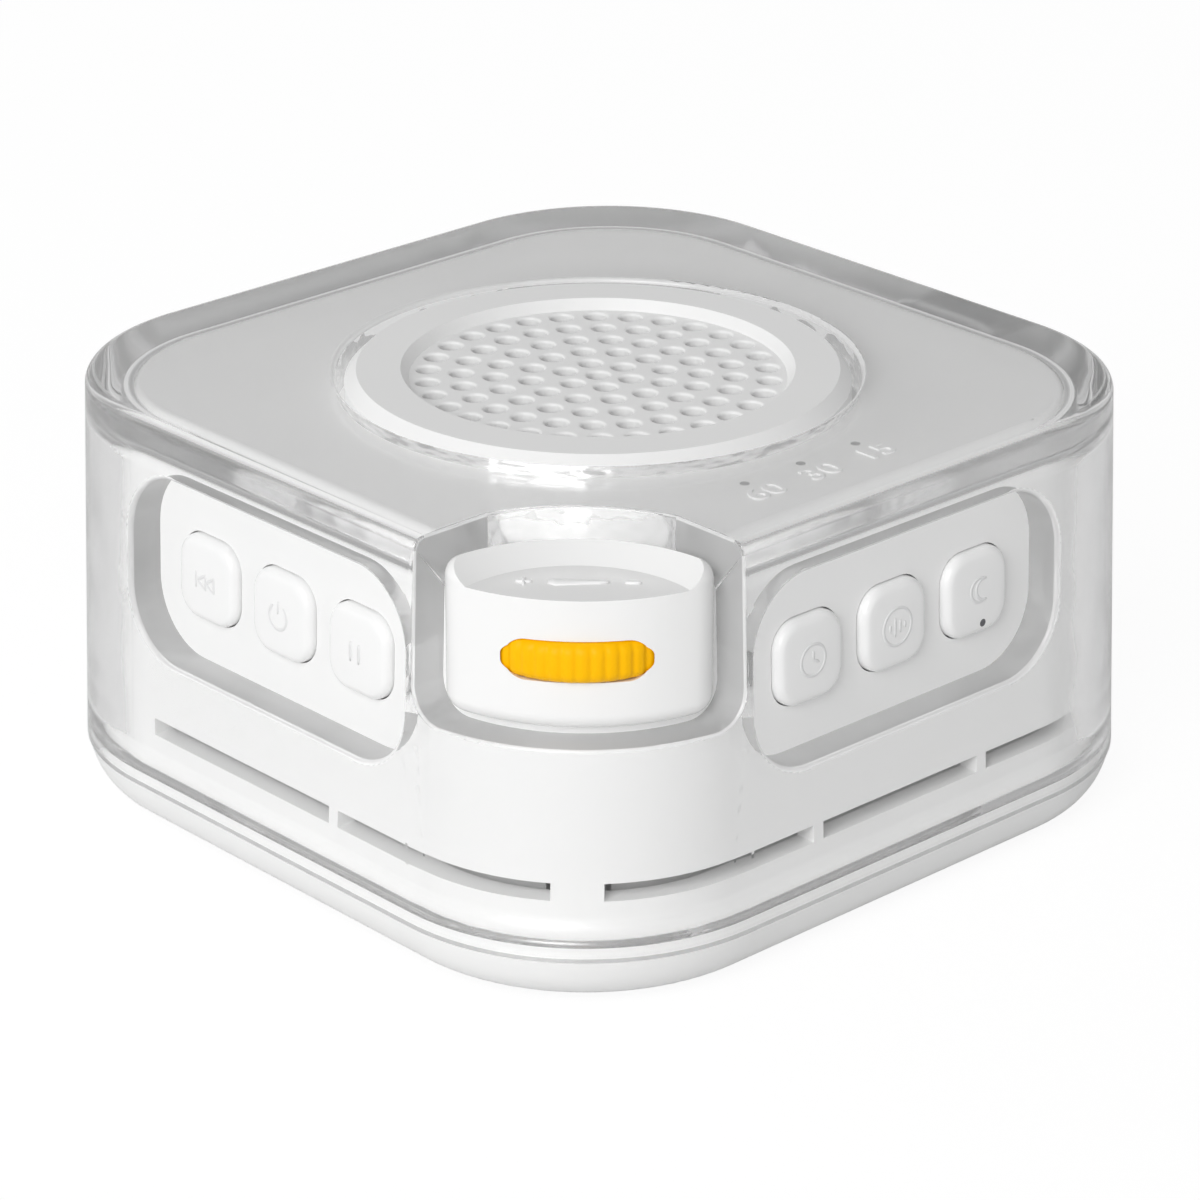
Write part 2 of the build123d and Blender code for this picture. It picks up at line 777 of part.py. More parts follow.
def make_potentiometer():
    """Potentiometer's round body on the volume board, with its bore and three pins."""
    low, high = volume_board_top_z, volume_board_top_z + potentiometer_height
    body = disc(potentiometer_radius, low, high)
    body -= disc(shaft_radius + shaft_clearance, low + potentiometer_floor, high)
    pin = Box(pin_length, pin_width, pin_thickness)
    pins = [Pos(-potentiometer_radius - pin_length / 4, step * pin_length, low + pin_thickness / 2) * pin
            for step in (-1, 0, 1)]
    return front_corner * Pos(wheel_out, 0, 0) * (body + pins)


def volume_screw_places():
    """Places of the volume board's two screws, on the shelf in the front corner."""
    sides = (-volume_screw_side, volume_screw_side)
    return [front_corner * Pos(volume_screw_out, side, 0) for side in sides]


def make_volume_board():
    """Small circuit board on the front corner's shelf."""
    length = volume_board_front_out - shelf_back_out
    plan = RectangleRounded(length, 2 * shelf_half_width, board_thickness)
    plan = Pos(shelf_back_out + length / 2, 0) * plan
    board = front_corner * column(plan, volume_board_z, volume_board_top_z)
    hole = disc(small_screw_radius + screw_play, volume_board_z - past, volume_board_top_z + past)
    return board - [place * hole for place in volume_screw_places()]


def volume_board_screws():
    """The volume board's two screws, heads up."""
    one = small_screw(volume_board_top_z, board_thickness + shelf_thickness, False)
    return [place * one for place in volume_screw_places()]


# ---- grille and loudspeaker ----
def perforations():
    """Centres of the grille's holes: rings of six, twelve and so on round one hole."""
    places = [Pos(0, 0, 0)]
    for count in range(1, perforation_rings + 1):
        places += [Rot(0, 0, 90 + 60 * step / count) * Pos(count * perforation_pitch, 0, 0)
                   for step in range(6 * count)]
    return places


def make_speaker_grille():
    """White ring with a bevelled edge round a recessed perforated disc."""
    floor_low = grille_floor_z - grille_floor_thickness
    body = turned(
        (0, floor_low), (grille_cavity_radius, floor_low), (grille_cavity_radius, shell_top_z),
        (grille_radius, shell_top_z), (grille_radius, grille_top_z - grille_bevel_height),
        (grille_radius - grille_bevel_width, grille_top_z), (grille_inner_radius, grille_top_z),
        (grille_floor_radius, grille_floor_z), (0, grille_floor_z))
    hole = disc(perforation_radius, floor_low - past, grille_floor_z + past)
    body -= [place * hole for place in perforations()]
    body = fillet(circles_at(body.edges(), perforation_radius, grille_floor_z), perforation_rounding)
    bore_end = shell_top_z + grille_screw_reach + screw_end_gap
    bore = disc(small_screw_radius + thread_gap, shell_top_z, bore_end)
    return body - [Pos(x, y, 0) * bore for x, y in quarter_places(grille_screw_out)]


def make_surround():
    """Rubber half-roll round the cone, with a flat lip under the gasket."""
    middle = (surround_outer + surround_inner) / 2
    roll = (surround_outer - surround_inner) / 2
    face = speaker_face_z
    half_roll = Circle(roll) - Circle(roll - surround_film)
    half_roll = half_roll & Pos(0, roll) * Rectangle(4 * roll, 2 * roll)
    body = revolve(Pos(middle, 0, face) * Rot(90, 0, 0) * half_roll, axis=Axis.Z)
    return body + ring(speaker_radius, surround_outer - surround_film, face, face + surround_lip)


def make_basket():
    """Pressed steel frame: flange with four ears, windowed cone, spider seat and floor."""
    face, low = speaker_face_z, basket_floor_z
    rim = surround_outer - basket_rim_overlap
    body = turned(
        (magnet_inner, top_plate_z), (basket_floor_radius, top_plate_z),
        (speaker_radius - basket_taper, face - speaker_flange), (speaker_radius, face - speaker_flange),
        (speaker_radius, face), (rim, face), (basket_floor_radius - basket_sheet, spider_z),
        (spider_seat_inner, spider_z), (spider_seat_inner, low), (magnet_inner, low))
    reach = ear_screw_out - surround_outer
    ear = Pos(ear_screw_out, 0) * Circle(ear_radius) + Pos(ear_screw_out - reach / 2, 0) * Rectangle(
        reach, 2 * ear_radius)
    body += [Rot(0, 0, 45 + 90 * turn) * column(ear, face - speaker_flange, face) for turn in range(4)]
    window = Pos(speaker_radius - basket_window_inset, 0, spider_z + basket_window_rise) * Box(
        basket_window_depth, basket_window_width, basket_window_height)
    body -= [Rot(0, 0, 90 * turn) * window for turn in range(4)]
    hole = disc(small_screw_radius + screw_play, face - speaker_flange - past, face + past)
    return body - [Pos(x, y, 0) * hole for x, y in diagonal_places(ear_screw_out)]


def make_cone():
    """Paper cone from the voice coil out to the surround."""
    high = speaker_face_z - cone_gap
    low = high - cone_depth
    outer, inner = surround_inner + surround_film, coil_inner + coil_wall + cone_gap
    return turned((inner, low), (inner + cone_neck, low), (outer, high - cone_thickness),
                  (outer, high), (inner, low + cone_neck))


def make_dust_cap():
    """Shallow dome over the voice coil."""
    base = coil_inner + coil_wall
    sphere = (base ** 2 + dust_cap_rise ** 2) / (2 * dust_cap_rise)
    low = speaker_face_z - cone_gap - cone_depth + cone_neck + cone_gap
    dome = Pos(0, 0, low + dust_cap_rise - sphere) * (Sphere(sphere) - Sphere(sphere - dust_cap_film))
    return dome & disc(base + past, low, low + dust_cap_rise + past)


def make_voice_coil():
    """Voice coil's former with its copper winding."""
    high = speaker_face_z - cone_depth + coil_reach
    low = high - coil_length
    former = ring(coil_inner + coil_wall, coil_inner, low, high)
    start = magnet_z + top_plate_thickness / 2 - winding_length / 2
    return former + ring(coil_inner + coil_wall + winding_wall, coil_inner, start, start + winding_length)


def make_spider():
    """Corrugated ring that centres the voice coil, on the basket's seat."""
    inner, outer = coil_inner + coil_wall + spider_gap, basket_floor_radius - basket_sheet - spider_gap
    step = (spider_seat_inner - inner) / spider_waves
    low, high = spider_z, spider_z + spider_thickness
    upper = [(inner, high)]
    for wave in range(spider_waves):
        start = inner + wave * step
        upper += [(start + step / 2, high + spider_wave_height), (start + step, high)]
    lower = [(radius, height - spider_thickness) for radius, height in reversed(upper)]
    return turned(*upper, (outer, high), (outer, low), *lower)


def make_yoke():
    """Steel back plate with the pole inside the voice coil."""
    return disc(top_plate_radius, yoke_z - yoke_thickness, yoke_z) + disc(pole_radius, yoke_z, top_plate_z)


def speaker_screws():
    """Four screws up through the basket's ears into the shell's top plate."""
    head_z = speaker_face_z - speaker_flange
    one = small_screw(head_z, ear_screw_end_z - head_z, True)
    return [Pos(x, y, 0) * one for x, y in diagonal_places(ear_screw_out)]


def ear_spacers():
    """Washers that fill the gasket's height at the basket's ears."""
    washer = ring(washer_radius, small_screw_radius + screw_play, speaker_face_z, shell_ceiling_z)
    return [Pos(x, y, 0) * washer for x, y in diagonal_places(ear_screw_out)]


def grille_screws():
    """Four screws up through the shell's top plate into the grille's ring."""
    one = small_screw(shell_ceiling_z, shell_wall + grille_screw_reach, True)
    return [Pos(x, y, 0) * one for x, y in quarter_places(grille_screw_out)]


def wire_pair(points, bend):
    """Two round wires side by side along Y, on straight runs joined by tangent arcs."""
    made = []
    for side in (-wire_spacing / 2, wire_spacing / 2):
        path = FilletPolyline(*[(x, y + side, z) for x, y, z in points], radius=bend)
        section = Plane(origin=path @ 0, z_dir=path % 0) * Circle(wire_radius)
        made.append(sweep(section, path=path))
        print("wire bend radius", round(bend, 2), "length", round(path.length, 1))
    return made


def make_speaker_leads():
    """Pair of wires from the basket's side down to the board's connector."""
    start = basket_side(speaker_lead_z) + wire_gap
    points = [(-start, 0, speaker_lead_z), (speaker_lead_x, 0, speaker_lead_z),
              (speaker_lead_x, 0, main_board_top_z + connector_height)]
    return wire_pair(points, wire_bend_share * (abs(speaker_lead_x) - start))


def basket_side(z):
    """Outer radius of the basket's conical side at a height."""
    low, high = top_plate_z, speaker_face_z - speaker_flange
    share = (z - low) / (high - low)
    return basket_floor_radius + share * (speaker_radius - basket_taper - basket_floor_radius)


# ---- base, battery and boards ----
def base_profile():
    """Section of the base's curved side, out from its flat bottom."""
    centre_z = base_low_z + base_curve_height
    outer = body_width / 2
    rim_angle = math.degrees(math.asin((centre_z - base_rim_z) / base_curve_height))
    curve = EllipticalCenterArc((outer - base_curve_width, centre_z), base_curve_width, base_curve_height,
                                start_angle=270, arc_size=90 - rim_angle)
    low_point, rim_point = curve @ 0, curve @ 1
    inner = outer - base_curve_width - past
    rest = Polyline(rim_point, (inner, rim_point.Y), (inner, low_point.Y), low_point)
    return make_face(curve + rest)


def make_base_shell():
    """White base: curved side, floor, bosses, standoffs, battery cradle and foot pockets."""
    section = Plane.XZ * base_profile()
    side = extrude(Pos(0, corner_centre, 0) * section, amount=2 * corner_centre)
    corner = revolve(Pos(-corner_centre, 0, 0) * section, axis=Axis.Z, revolution_arc=90)
    body = column(rounded_square(base_curve_width + past / 2, seam_z), base_low_z, base_rim_z)
    for turn in range(4):
        body += Rot(0, 0, 90 * turn) * side
        body += Rot(0, 0, 90 * turn) * Pos(corner_centre, corner_centre, 0) * corner
    body -= column(rounded_square(base_wall_inset, seam_z), floor_top_z, base_rim_z + past)
    for x, y in diagonal_places(boss_out):
        body += Pos(x, y, 0) * disc(base_boss_radius, floor_top_z, base_rim_z)
        body -= Pos(x, y, 0) * disc(screw_radius + screw_play, base_low_z, base_rim_z)
        body -= Pos(x, y, 0) * disc(screw_head_radius + screw_play, base_low_z, screw_seat_z)
    standoff = disc(standoff_radius, floor_top_z, main_board_z)
    standoff -= disc(small_screw_radius + thread_gap, main_board_z - standoff_bore, main_board_z)
    body += [Pos(x, y, 0) * standoff for x, y in square_places(standoff_place)]
    pocket = disc(foot_radius + foot_gap, base_low_z, base_low_z + foot_pocket)
    body -= [Pos(x, y, 0) * pocket for x, y in square_places(foot_place)]
    rail_y = battery_width / 2 + cradle_gap + cradle_thickness / 2
    rail = Pos(0, 0, floor_top_z + cradle_rise / 2) * Box(cradle_length, cradle_thickness, cradle_rise)
    return body + [Pos(0, y, 0) * rail for y in (-rail_y, rail_y)]


def make_vent_liner():
    """Upright wall just behind the vent slots, on the base's floor, bent inwards round the bosses."""
    high = vent_low_z + vent_height + liner_above_vents
    inset = shell_inner_inset + liner_gap
    inside = rounded_square(inset, high)
    wall = inside - rounded_square(inset + liner_thickness, high)
    room = base_boss_radius + liner_gap
    for x, y in diagonal_places(boss_out):
        wall += inside & Pos(x, y) * Circle(room + liner_thickness)
    wall -= [Pos(x, y) * Circle(room) for x, y in diagonal_places(boss_out)]
    return column(wall, floor_top_z, high) - port_room()


def rubber_feet():
    """Four round feet, each in its pocket, with a softened lower edge."""
    foot = disc(foot_radius, 0, base_low_z + foot_pocket)
    foot = fillet(foot.edges().group_by(Axis.Z)[0], foot_rounding)
    return [Pos(x, y, 0) * foot for x, y in square_places(foot_place)]


def base_screws():
    """Four long screws up through the base into the shell's corner bosses."""
    one = screw(screw_seat_z, screw_radius, screw_head_radius, screw_head_height, screw_length, True)
    return [Pos(x, y, 0) * one for x, y in diagonal_places(boss_out)]


def make_main_board():
    """Main circuit board with a tab that carries the port."""
    plan = RectangleRounded(main_board_width, main_board_width, main_board_radius)
    tab_end = side_distance(shell_inner_inset, main_board_top_z) - board_tab_margin
    tab = Pos(0, tab_end / 2) * Rectangle(2 * main_board_tab, tab_end)
    board = column(plan + tab, main_board_z, main_board_top_z)
    hole = disc(small_screw_radius + screw_play, main_board_z - past, main_board_top_z + past)
    return board - [Pos(x, y, 0) * hole for x, y in square_places(standoff_place)]


def main_board_screws():
    """Four screws down through the main board into the base's standoffs."""
    one = small_screw(main_board_top_z, main_board_screw_length, False)
    return [Pos(x, y, 0) * one for x, y in square_places(standoff_place)]


def board_chips():
    """Sound, radio and amplifier chips, in a row behind the loudspeaker's magnet."""
    chip = Box(chip_width, chip_width, chip_thickness)
    return [Pos(step * 2 * chip_width, part_place, main_board_top_z + chip_thickness / 2) * chip
            for step in (-1, 0, 1)]


def board_capacitors():
    """Round electrolytic capacitors, in a row in front of the loudspeaker's magnet."""
    can = disc(capacitor_radius, main_board_top_z, main_board_top_z + capacitor_height)
    return [Pos(step * 3 * capacitor_radius, -part_place, 0) * can for step in (-1, 0, 1)]


def make_port():
    """Port's metal sleeve, open at its mouth, with its tongue inside."""
    outer_round = port_height / 2 - port_corner_relief
    outline = RectangleRounded(port_width, port_height, outer_round)
    hollow = offset(outline, -port_wall)
    sleeve = extrude(Plane.XZ * outline, amount=port_depth)
    sleeve -= extrude(Plane.XZ * hollow, amount=port_depth - port_back)
    tongue = Pos(0, -port_depth / 2, 0) * Box(tongue_width, port_depth - port_back, tongue_thickness)
    return Pos(0, port_mouth, port_z) * (sleeve + tongue)


def make_battery():
    """Flat pouch cell with softened edges."""
    body = Pos(0, 0, battery_low_z + battery_height / 2) * Box(battery_length, battery_width, battery_height)
    return fillet(body.edges().filter_by(Axis.X), battery_edge_radius)


def board_connectors():
    """Speaker's connector on the main board and battery's connector under it."""
    top = Pos(speaker_lead_x, 0, main_board_top_z + connector_height / 2)
    under = Pos(battery_connector_x, 0, main_board_z - connector_height / 2)
    block = Box(connector_depth, connector_width, connector_height)
    return [top * block, under * block]


def make_battery_leads():
    """Pair of wires from the battery's end up to the connector under the main board."""
    start = battery_length / 2 + wire_gap
    points = [(start, 0, battery_lead_z), (battery_connector_x, 0, battery_lead_z),
              (battery_connector_x, 0, main_board_z - connector_height)]
    return wire_pair(points, wire_bend_share * (battery_connector_x - start))


# ---- timer lights ----
def indicator_places():
    """Places along Y of the three timer lights."""
    return [indicator_centre_y + step * indicator_pitch for step in (-1, 0, 1)]


def indicator_post_places():
    """Places along Y of the two posts of the timer lights' board."""
    return [indicator_centre_y - indicator_span, indicator_centre_y + indicator_span]


def indicator_posts():
    """Posts under the shell's top plate that carry the timer lights' board."""
    post = disc(indicator_post_radius, indicator_top_z, shell_ceiling_z + shell_wall / 2)
    return [Pos(indicator_x, y, 0) * post for y in indicator_post_places()]


def light_pipes():
    """Three clear rods in the shell's pinholes, above their lights."""
    low = indicator_top_z + indicator_light_height + indicator_light_gap
    rod = disc(light_pipe_radius - light_pipe_gap, low, shell_top_z)
    return [Pos(indicator_x, y, 0) * rod for y in indicator_places()]


def indicator_lights():
    """Three small lights on their board."""
    light = Box(indicator_light_width, indicator_light_length, indicator_light_height)
    middle_z = indicator_top_z + indicator_light_height / 2
    return [Pos(indicator_x, y, middle_z) * light for y in indicator_places()]


def make_indicator_board():
    """Narrow circuit board for the timer lights."""
    plan = Rectangle(indicator_board_width, 2 * (indicator_span + indicator_post_radius))
    board = Pos(indicator_x, indicator_centre_y, 0) * column(plan, indicator_board_z, indicator_top_z)
    hole = disc(small_screw_radius + screw_play, indicator_board_z - past, indicator_top_z + past)
    return board - [Pos(indicator_x, y, 0) * hole for y in indicator_post_places()]


def indicator_screws():
    """Two screws up through the timer lights' board into the posts."""
    one = small_screw(indicator_board_z, shell_ceiling_z - indicator_board_z - screw_end_gap, True)
    return [Pos(indicator_x, y, 0) * one for y in indicator_post_places()]


# ---- all nodes ----
def add_button_nodes(nodes):
    """Both faces' buttons, plungers, switches and boards."""
    left_names = ["previous", "power", "pause"]
    right_names = ["auto", "sound", "timer"]
    for across, left, right in zip(button_places(), left_names, right_names):
        button, plunger = make_button(across), make_plunger(across)
        nodes["button_" + left] = button
        nodes["plunger_" + left] = plunger
        nodes["button_" + right] = on_right_face(button)
        nodes["plunger_" + right] = on_right_face(plunger)
    far = button_places()[0]
    nodes["button_auto"] -= on_right_face(make_lens(far, lens_radius))
    nodes["auto_button_lens"] = on_right_face(make_lens(far, lens_radius))
    switches = [make_switch(across) for across in button_places()]
    nodes["left_tact_switches"] = switches
    nodes["right_tact_switches"] = [on_right_face(switch) for switch in switches]
    nodes["left_button_board"] = make_button_board()
    nodes["right_button_board"] = on_right_face(make_button_board())
    screws = button_board_screws()
    nodes["button_board_screws"] = screws + [on_right_face(one) for one in screws]


def add_speaker_nodes(nodes):
    """Grille and loudspeaker, from the top down."""
    cloth_high = grille_floor_z - grille_floor_thickness
    nodes["speaker_grille"] = make_speaker_grille()
    nodes["grille_screws"] = grille_screws()
    cloth_radius = grille_cavity_radius - cloth_margin
    nodes["grille_cloth"] = disc(cloth_radius, cloth_high - cloth_thickness, cloth_high)
    nodes["speaker_gasket"] = ring(speaker_radius, surround_outer + cloth_margin,
                                   speaker_face_z + surround_lip, shell_ceiling_z)
    nodes["speaker_washers"] = ear_spacers()
    nodes["speaker_surround"] = make_surround()
    nodes["speaker_basket"] = make_basket()
    nodes["speaker_cone"] = make_cone()
    nodes["speaker_dust_cap"] = make_dust_cap()
    nodes["voice_coil"] = make_voice_coil()
    nodes["speaker_spider"] = make_spider()
    nodes["speaker_top_plate"] = ring(top_plate_radius, top_plate_inner, magnet_z, top_plate_z)
    nodes["speaker_magnet"] = ring(magnet_radius, magnet_inner, yoke_z, magnet_z)
    nodes["speaker_yoke"] = make_yoke()
    nodes["speaker_screws"] = speaker_screws()
    nodes["speaker_leads"] = make_speaker_leads()


def add_volume_nodes(nodes):
    """Pod, thumbwheel and potentiometer."""
    nodes["volume_pod"] = make_volume_pod()
    nodes["volume_wheel"] = make_volume_wheel()
    nodes["volume_shaft"] = make_volume_shaft()
    nodes["volume_wheel_screw"] = front_corner * Pos(wheel_out, 0, 0) * small_screw(
        wheel_high_z - small_head_height, wheel_screw_length, False)
    nodes["volume_potentiometer"] = make_potentiometer()
    nodes["volume_board"] = make_volume_board()
    nodes["volume_board_screws"] = volume_board_screws()


def add_base_nodes(nodes):
    """Base, feet, battery, main board and timer lights."""
    nodes["base_shell"] = make_base_shell()
    nodes["rubber_feet"] = rubber_feet()
    nodes["base_screws"] = base_screws()
    nodes["vent_liner"] = make_vent_liner()
    nodes["battery_foam_pad"] = Pos(0, 0, floor_top_z + foam_thickness / 2) * Box(
        battery_length - 2 * foam_inset, battery_width - 2 * foam_inset, foam_thickness)
    nodes["battery"] = make_battery()
    nodes["battery_leads"] = make_battery_leads()
    nodes["board_connectors"] = board_connectors()
    nodes["main_board"] = make_main_board()
    nodes["main_board_screws"] = main_board_screws()
    nodes["board_chips"] = board_chips()
    nodes["board_capacitors"] = board_capacitors()
    nodes["usb_c_port"] = make_port()
    nodes["timer_light_pipes"] = light_pipes()
    nodes["timer_lights"] = indicator_lights()
    nodes["timer_light_board"] = make_indicator_board()
    nodes["timer_board_screws"] = indicator_screws()


def main():
    """Makes every node and writes each one to its own STEP file."""
    nodes = {"clear_cover": make_clear_cover(), "inner_shell": make_inner_shell()}
    add_button_nodes(nodes)
    add_speaker_nodes(nodes)
    add_volume_nodes(nodes)
    add_base_nodes(nodes)
    os.makedirs("parts", exist_ok=True)
    for name, shape in nodes.items():
        solids = shape if isinstance(shape, list) else [shape]
        group = Compound(children=[solid for part in solids for solid in part.solids()])
        export_step(group, os.path.join("parts", name + ".step"))
        print(name, len(solids), round(group.volume, 2))
    print(len(nodes), "nodes")


if __name__ == "__main__":
    main()
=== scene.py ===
import json
import logging
import math
from collections.abc import Callable, Sequence
from dataclasses import dataclass, field
from enum import Enum

import bmesh
import bpy
import numpy as np
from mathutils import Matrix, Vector


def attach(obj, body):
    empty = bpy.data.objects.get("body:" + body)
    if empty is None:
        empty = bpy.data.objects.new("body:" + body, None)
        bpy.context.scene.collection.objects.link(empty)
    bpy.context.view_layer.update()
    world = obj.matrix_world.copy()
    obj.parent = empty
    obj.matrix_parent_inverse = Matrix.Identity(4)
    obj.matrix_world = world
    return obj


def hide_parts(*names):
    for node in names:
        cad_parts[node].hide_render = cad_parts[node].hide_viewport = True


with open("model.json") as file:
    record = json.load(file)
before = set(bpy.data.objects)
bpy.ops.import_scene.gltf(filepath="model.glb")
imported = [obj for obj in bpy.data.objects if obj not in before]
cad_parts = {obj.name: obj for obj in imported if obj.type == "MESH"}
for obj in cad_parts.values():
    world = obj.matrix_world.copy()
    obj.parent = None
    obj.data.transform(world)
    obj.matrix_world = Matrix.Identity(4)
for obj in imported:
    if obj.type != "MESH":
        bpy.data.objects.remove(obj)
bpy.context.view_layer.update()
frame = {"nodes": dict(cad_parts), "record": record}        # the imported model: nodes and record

LOG = logging.getLogger("sound_machine")

MM = 0.001
BODY_WIDTH = 88.0
CORNER_RADIUS = 22.6
SEAM_Z = 5.4
DRAFT = math.radians(2.2)
SHELL_INSET = 4.0
SHELL_TOP_Z = 40.2
DIAGONAL = math.sqrt(0.5)

Colour = tuple[float, float, float]


# ---- shader building ----
class Socket:
    """One output of a shader node; arithmetic on it adds Math nodes to its tree."""

    def __init__(self, shader: "Shader", link: bpy.types.NodeSocket) -> None:
        """Keep the tree and the node's output."""
        self.shader = shader
        self.link = link

    def math(self, operation: str, *values: "Socket | float") -> "Socket":
        """Add one Math node.

        Args:
            operation: the node's operation.
            values: its operands in order.

        Returns:
            The node's result.
        """
        made = self.shader.node("Math", {"operation": operation}, dict(enumerate(values)))
        return Socket(self.shader, made.outputs[0])

    def __add__(self, other: "Socket | float") -> "Socket":
        """Sum."""
        return self.math("ADD", self, other)

    def __radd__(self, other: float) -> "Socket":
        """Sum with a number on the left."""
        return self.math("ADD", other, self)

    def __sub__(self, other: "Socket | float") -> "Socket":
        """Difference."""
        return self.math("SUBTRACT", self, other)

    def __rsub__(self, other: float) -> "Socket":
        """Difference from a number on the left."""
        return self.math("SUBTRACT", other, self)

    def __mul__(self, other: "Socket | float") -> "Socket":
        """Product."""
        return self.math("MULTIPLY", self, other)

    def __rmul__(self, other: float) -> "Socket":
        """Product with a number on the left."""
        return self.math("MULTIPLY", other, self)

    def maximum(self, other: "Socket | float") -> "Socket":
        """The larger of two values."""
        return self.math("MAXIMUM", self, other)

    def ramp(self, low: float, high: float, start: float = 0.0, end: float = 1.0) -> "Socket":
        """Straight ramp between two values, held at its ends.

        Args:
            low: the value that gives start.
            high: the value that gives end.
            start: result at low.
            end: result at high.

        Returns:
            The ramped value.
        """
        made = self.shader.node("MapRange", {"clamp": True}, {
            "Value": self, "From Min": low, "From Max": high, "To Min": start, "To Max": end})
        return Socket(self.shader, made.outputs["Result"])


class Shader:
    """The node tree of a material or a room, built by calls that hand back sockets."""

    def __init__(self, owner: bpy.types.Material | bpy.types.World) -> None:
        """Start an empty tree.

        Args:
            owner: the material or the room that the tree belongs to.
        """
        owner.use_nodes = True
        self.owner = owner
        self.tree = owner.node_tree
        self.tree.nodes.clear()

    def node(self, kind: str, settings: dict[str, object] | None = None,
             inputs: dict[str | int, object] | None = None) -> bpy.types.Node:
        """Add one node, its settings first and then its sockets.

        Args:
            kind: the node's type without its prefix.
            settings: its properties.
            inputs: values or links by socket name or number.

        Returns:
            The new node.
        """
        made = self.tree.nodes.new("ShaderNode" + kind)
        for name, value in (settings or {}).items():
            setattr(made, name, value)
        for name, value in (inputs or {}).items():
            if isinstance(value, Socket):
                self.tree.links.new(value.link, made.inputs[name])
            elif isinstance(value, bpy.types.NodeSocket):
                self.tree.links.new(value, made.inputs[name])
            else:
                made.inputs[name].default_value = value
        return made

    def place(self) -> bpy.types.NodeSocket:
        """Object coordinates, in metres."""
        return self.node("TexCoord").outputs["Object"]

    def cloud(self, size_mm: float, detail: float = 2.0) -> Socket:
        """Soft noise whose patches are about size_mm across.

        Args:
            size_mm: patch size in millimetres.
            detail: how many finer layers it has.

        Returns:
            Values round one half.
        """
        made = self.node("TexNoise", {"noise_dimensions": "3D"}, {
            "Vector": self.place(), "Scale": 1.0 / (size_mm * MM), "Detail": detail, "Roughness": 0.5})
        return Socket(self, made.outputs["Fac"])

    def blend(self, share: Socket | float, first: object, second: object) -> Socket:
        """Mix two colours.

        Args:
            share: 0 for the first colour and 1 for the second.
            first: a colour or its socket.
            second: a colour or its socket.

        Returns:
            The mixed colour.
        """
        colours = [(*c, 1.0) if isinstance(c, tuple) else c for c in (first, second)]
        made = self.node("Mix", {"data_type": "RGBA", "clamp_factor": True},
                         {0: share, 6: colours[0], 7: colours[1]})
        return Socket(self, made.outputs[2])

    def bump(self, height: Socket, depth_mm: float) -> bpy.types.NodeSocket:
        """Normal of a fine relief.

        Args:
            height: the relief, from 0 to 1.
            depth_mm: its depth in millimetres.

        Returns:
            The bent normal.
        """
        made = self.node("Bump", None, {"Strength": 1.0, "Distance": depth_mm * MM, "Height": height})
        return made.outputs["Normal"]

    def surface(self, shader: bpy.types.Node) -> bpy.types.Material:
        """Join a shader to the material's output.

        Args:
            shader: the node whose first output is the surface.

        Returns:
            The finished material.
        """
        self.node("OutputMaterial", None, {"Surface": shader.outputs[0]})
        return self.owner


# ---- finishes ----
@dataclass(frozen=True)
class Moulded:
    """Injection-moulded plastic or rubber: a faint cloud of colour over a fine spark-eroded texture."""

    name: str
    colour: Colour
    shade: Colour
    roughness: float = 0.32
    spread: float = 0.06
    grain_mm: float = 0.25
    relief_mm: float = 0.004
    cloud_mm: float = 16.0
    coat: float = 0.0
    specular: float = 0.5

    def material(self) -> bpy.types.Material:
        """Make the finish: colour and roughness follow a soft cloud, and the relief is fine noise.

        Returns:
            The material.
        """
        shader = Shader(bpy.data.materials.new(self.name))
        cloud = shader.cloud(self.cloud_mm, 3.0).ramp(0.2, 0.8)
        grain = shader.cloud(self.grain_mm, 1.0)
        body = shader.node("BsdfPrincipled", None, {
            "Base Color": shader.blend(cloud, self.shade, self.colour),
            "Roughness": self.roughness + self.spread * (2 * cloud - 1),
            "IOR": 1.49, "Specular IOR Level": self.specular, "Coat Weight": self.coat,
            "Coat Roughness": 0.12, "Normal": shader.bump(grain, self.relief_mm)})
        return shader.surface(body)


@dataclass(frozen=True)
class ClearPlastic:
    """Clear plastic: bends light, lets lamps and scattered light through, and may have a satin haze."""

    name: str
    tint: Colour = (0.996, 0.996, 0.996)
    passed: Colour = (1.0, 1.0, 1.0)
    ior: float = 1.49
    roughness: float = 0.015
    ripple_mm: float = 0.0
    haze: float = 0.0
    haze_colour: Colour = (0.5, 0.5, 0.5)
    haze_shade: Colour = (0.45, 0.45, 0.45)
    haze_mm: float = 9.0

    def material(self) -> bpy.types.Material:
        """Make the finish: a refracting shader for sight, a plain clear one for rays of light.

        Returns:
            The material.
        """
        shader = Shader(bpy.data.materials.new(self.name))
        inputs = {"Base Color": (*self.tint, 1.0), "Roughness": self.roughness, "IOR": self.ior,
                  "Transmission Weight": 1.0}
        if self.ripple_mm:
            inputs["Normal"] = shader.bump(shader.cloud(self.haze_mm, 1.0), self.ripple_mm)
        sight = shader.node("BsdfPrincipled", None, inputs)
        if self.haze:
            cloud = shader.cloud(self.haze_mm, 1.0).ramp(0.35, 0.65)
            satin = shader.node("BsdfPrincipled", None, {
                "Base Color": shader.blend(cloud, self.haze_shade, self.haze_colour),
                "Roughness": 0.35, "IOR": self.ior})
            sight = shader.node("MixShader", None, {0: self.haze, 1: sight.outputs[0], 2: satin.outputs[0]})
        film = shader.node("BsdfTransparent", None, {"Color": (*self.passed, 1.0)})
        path = shader.node("LightPath")
        lit = Socket(shader, path.outputs["Is Shadow Ray"]).maximum(
            Socket(shader, path.outputs["Is Diffuse Ray"]))
        return shader.surface(shader.node("MixShader", None, {0: lit, 1: sight.outputs[0],
                                                              2: film.outputs[0]}))


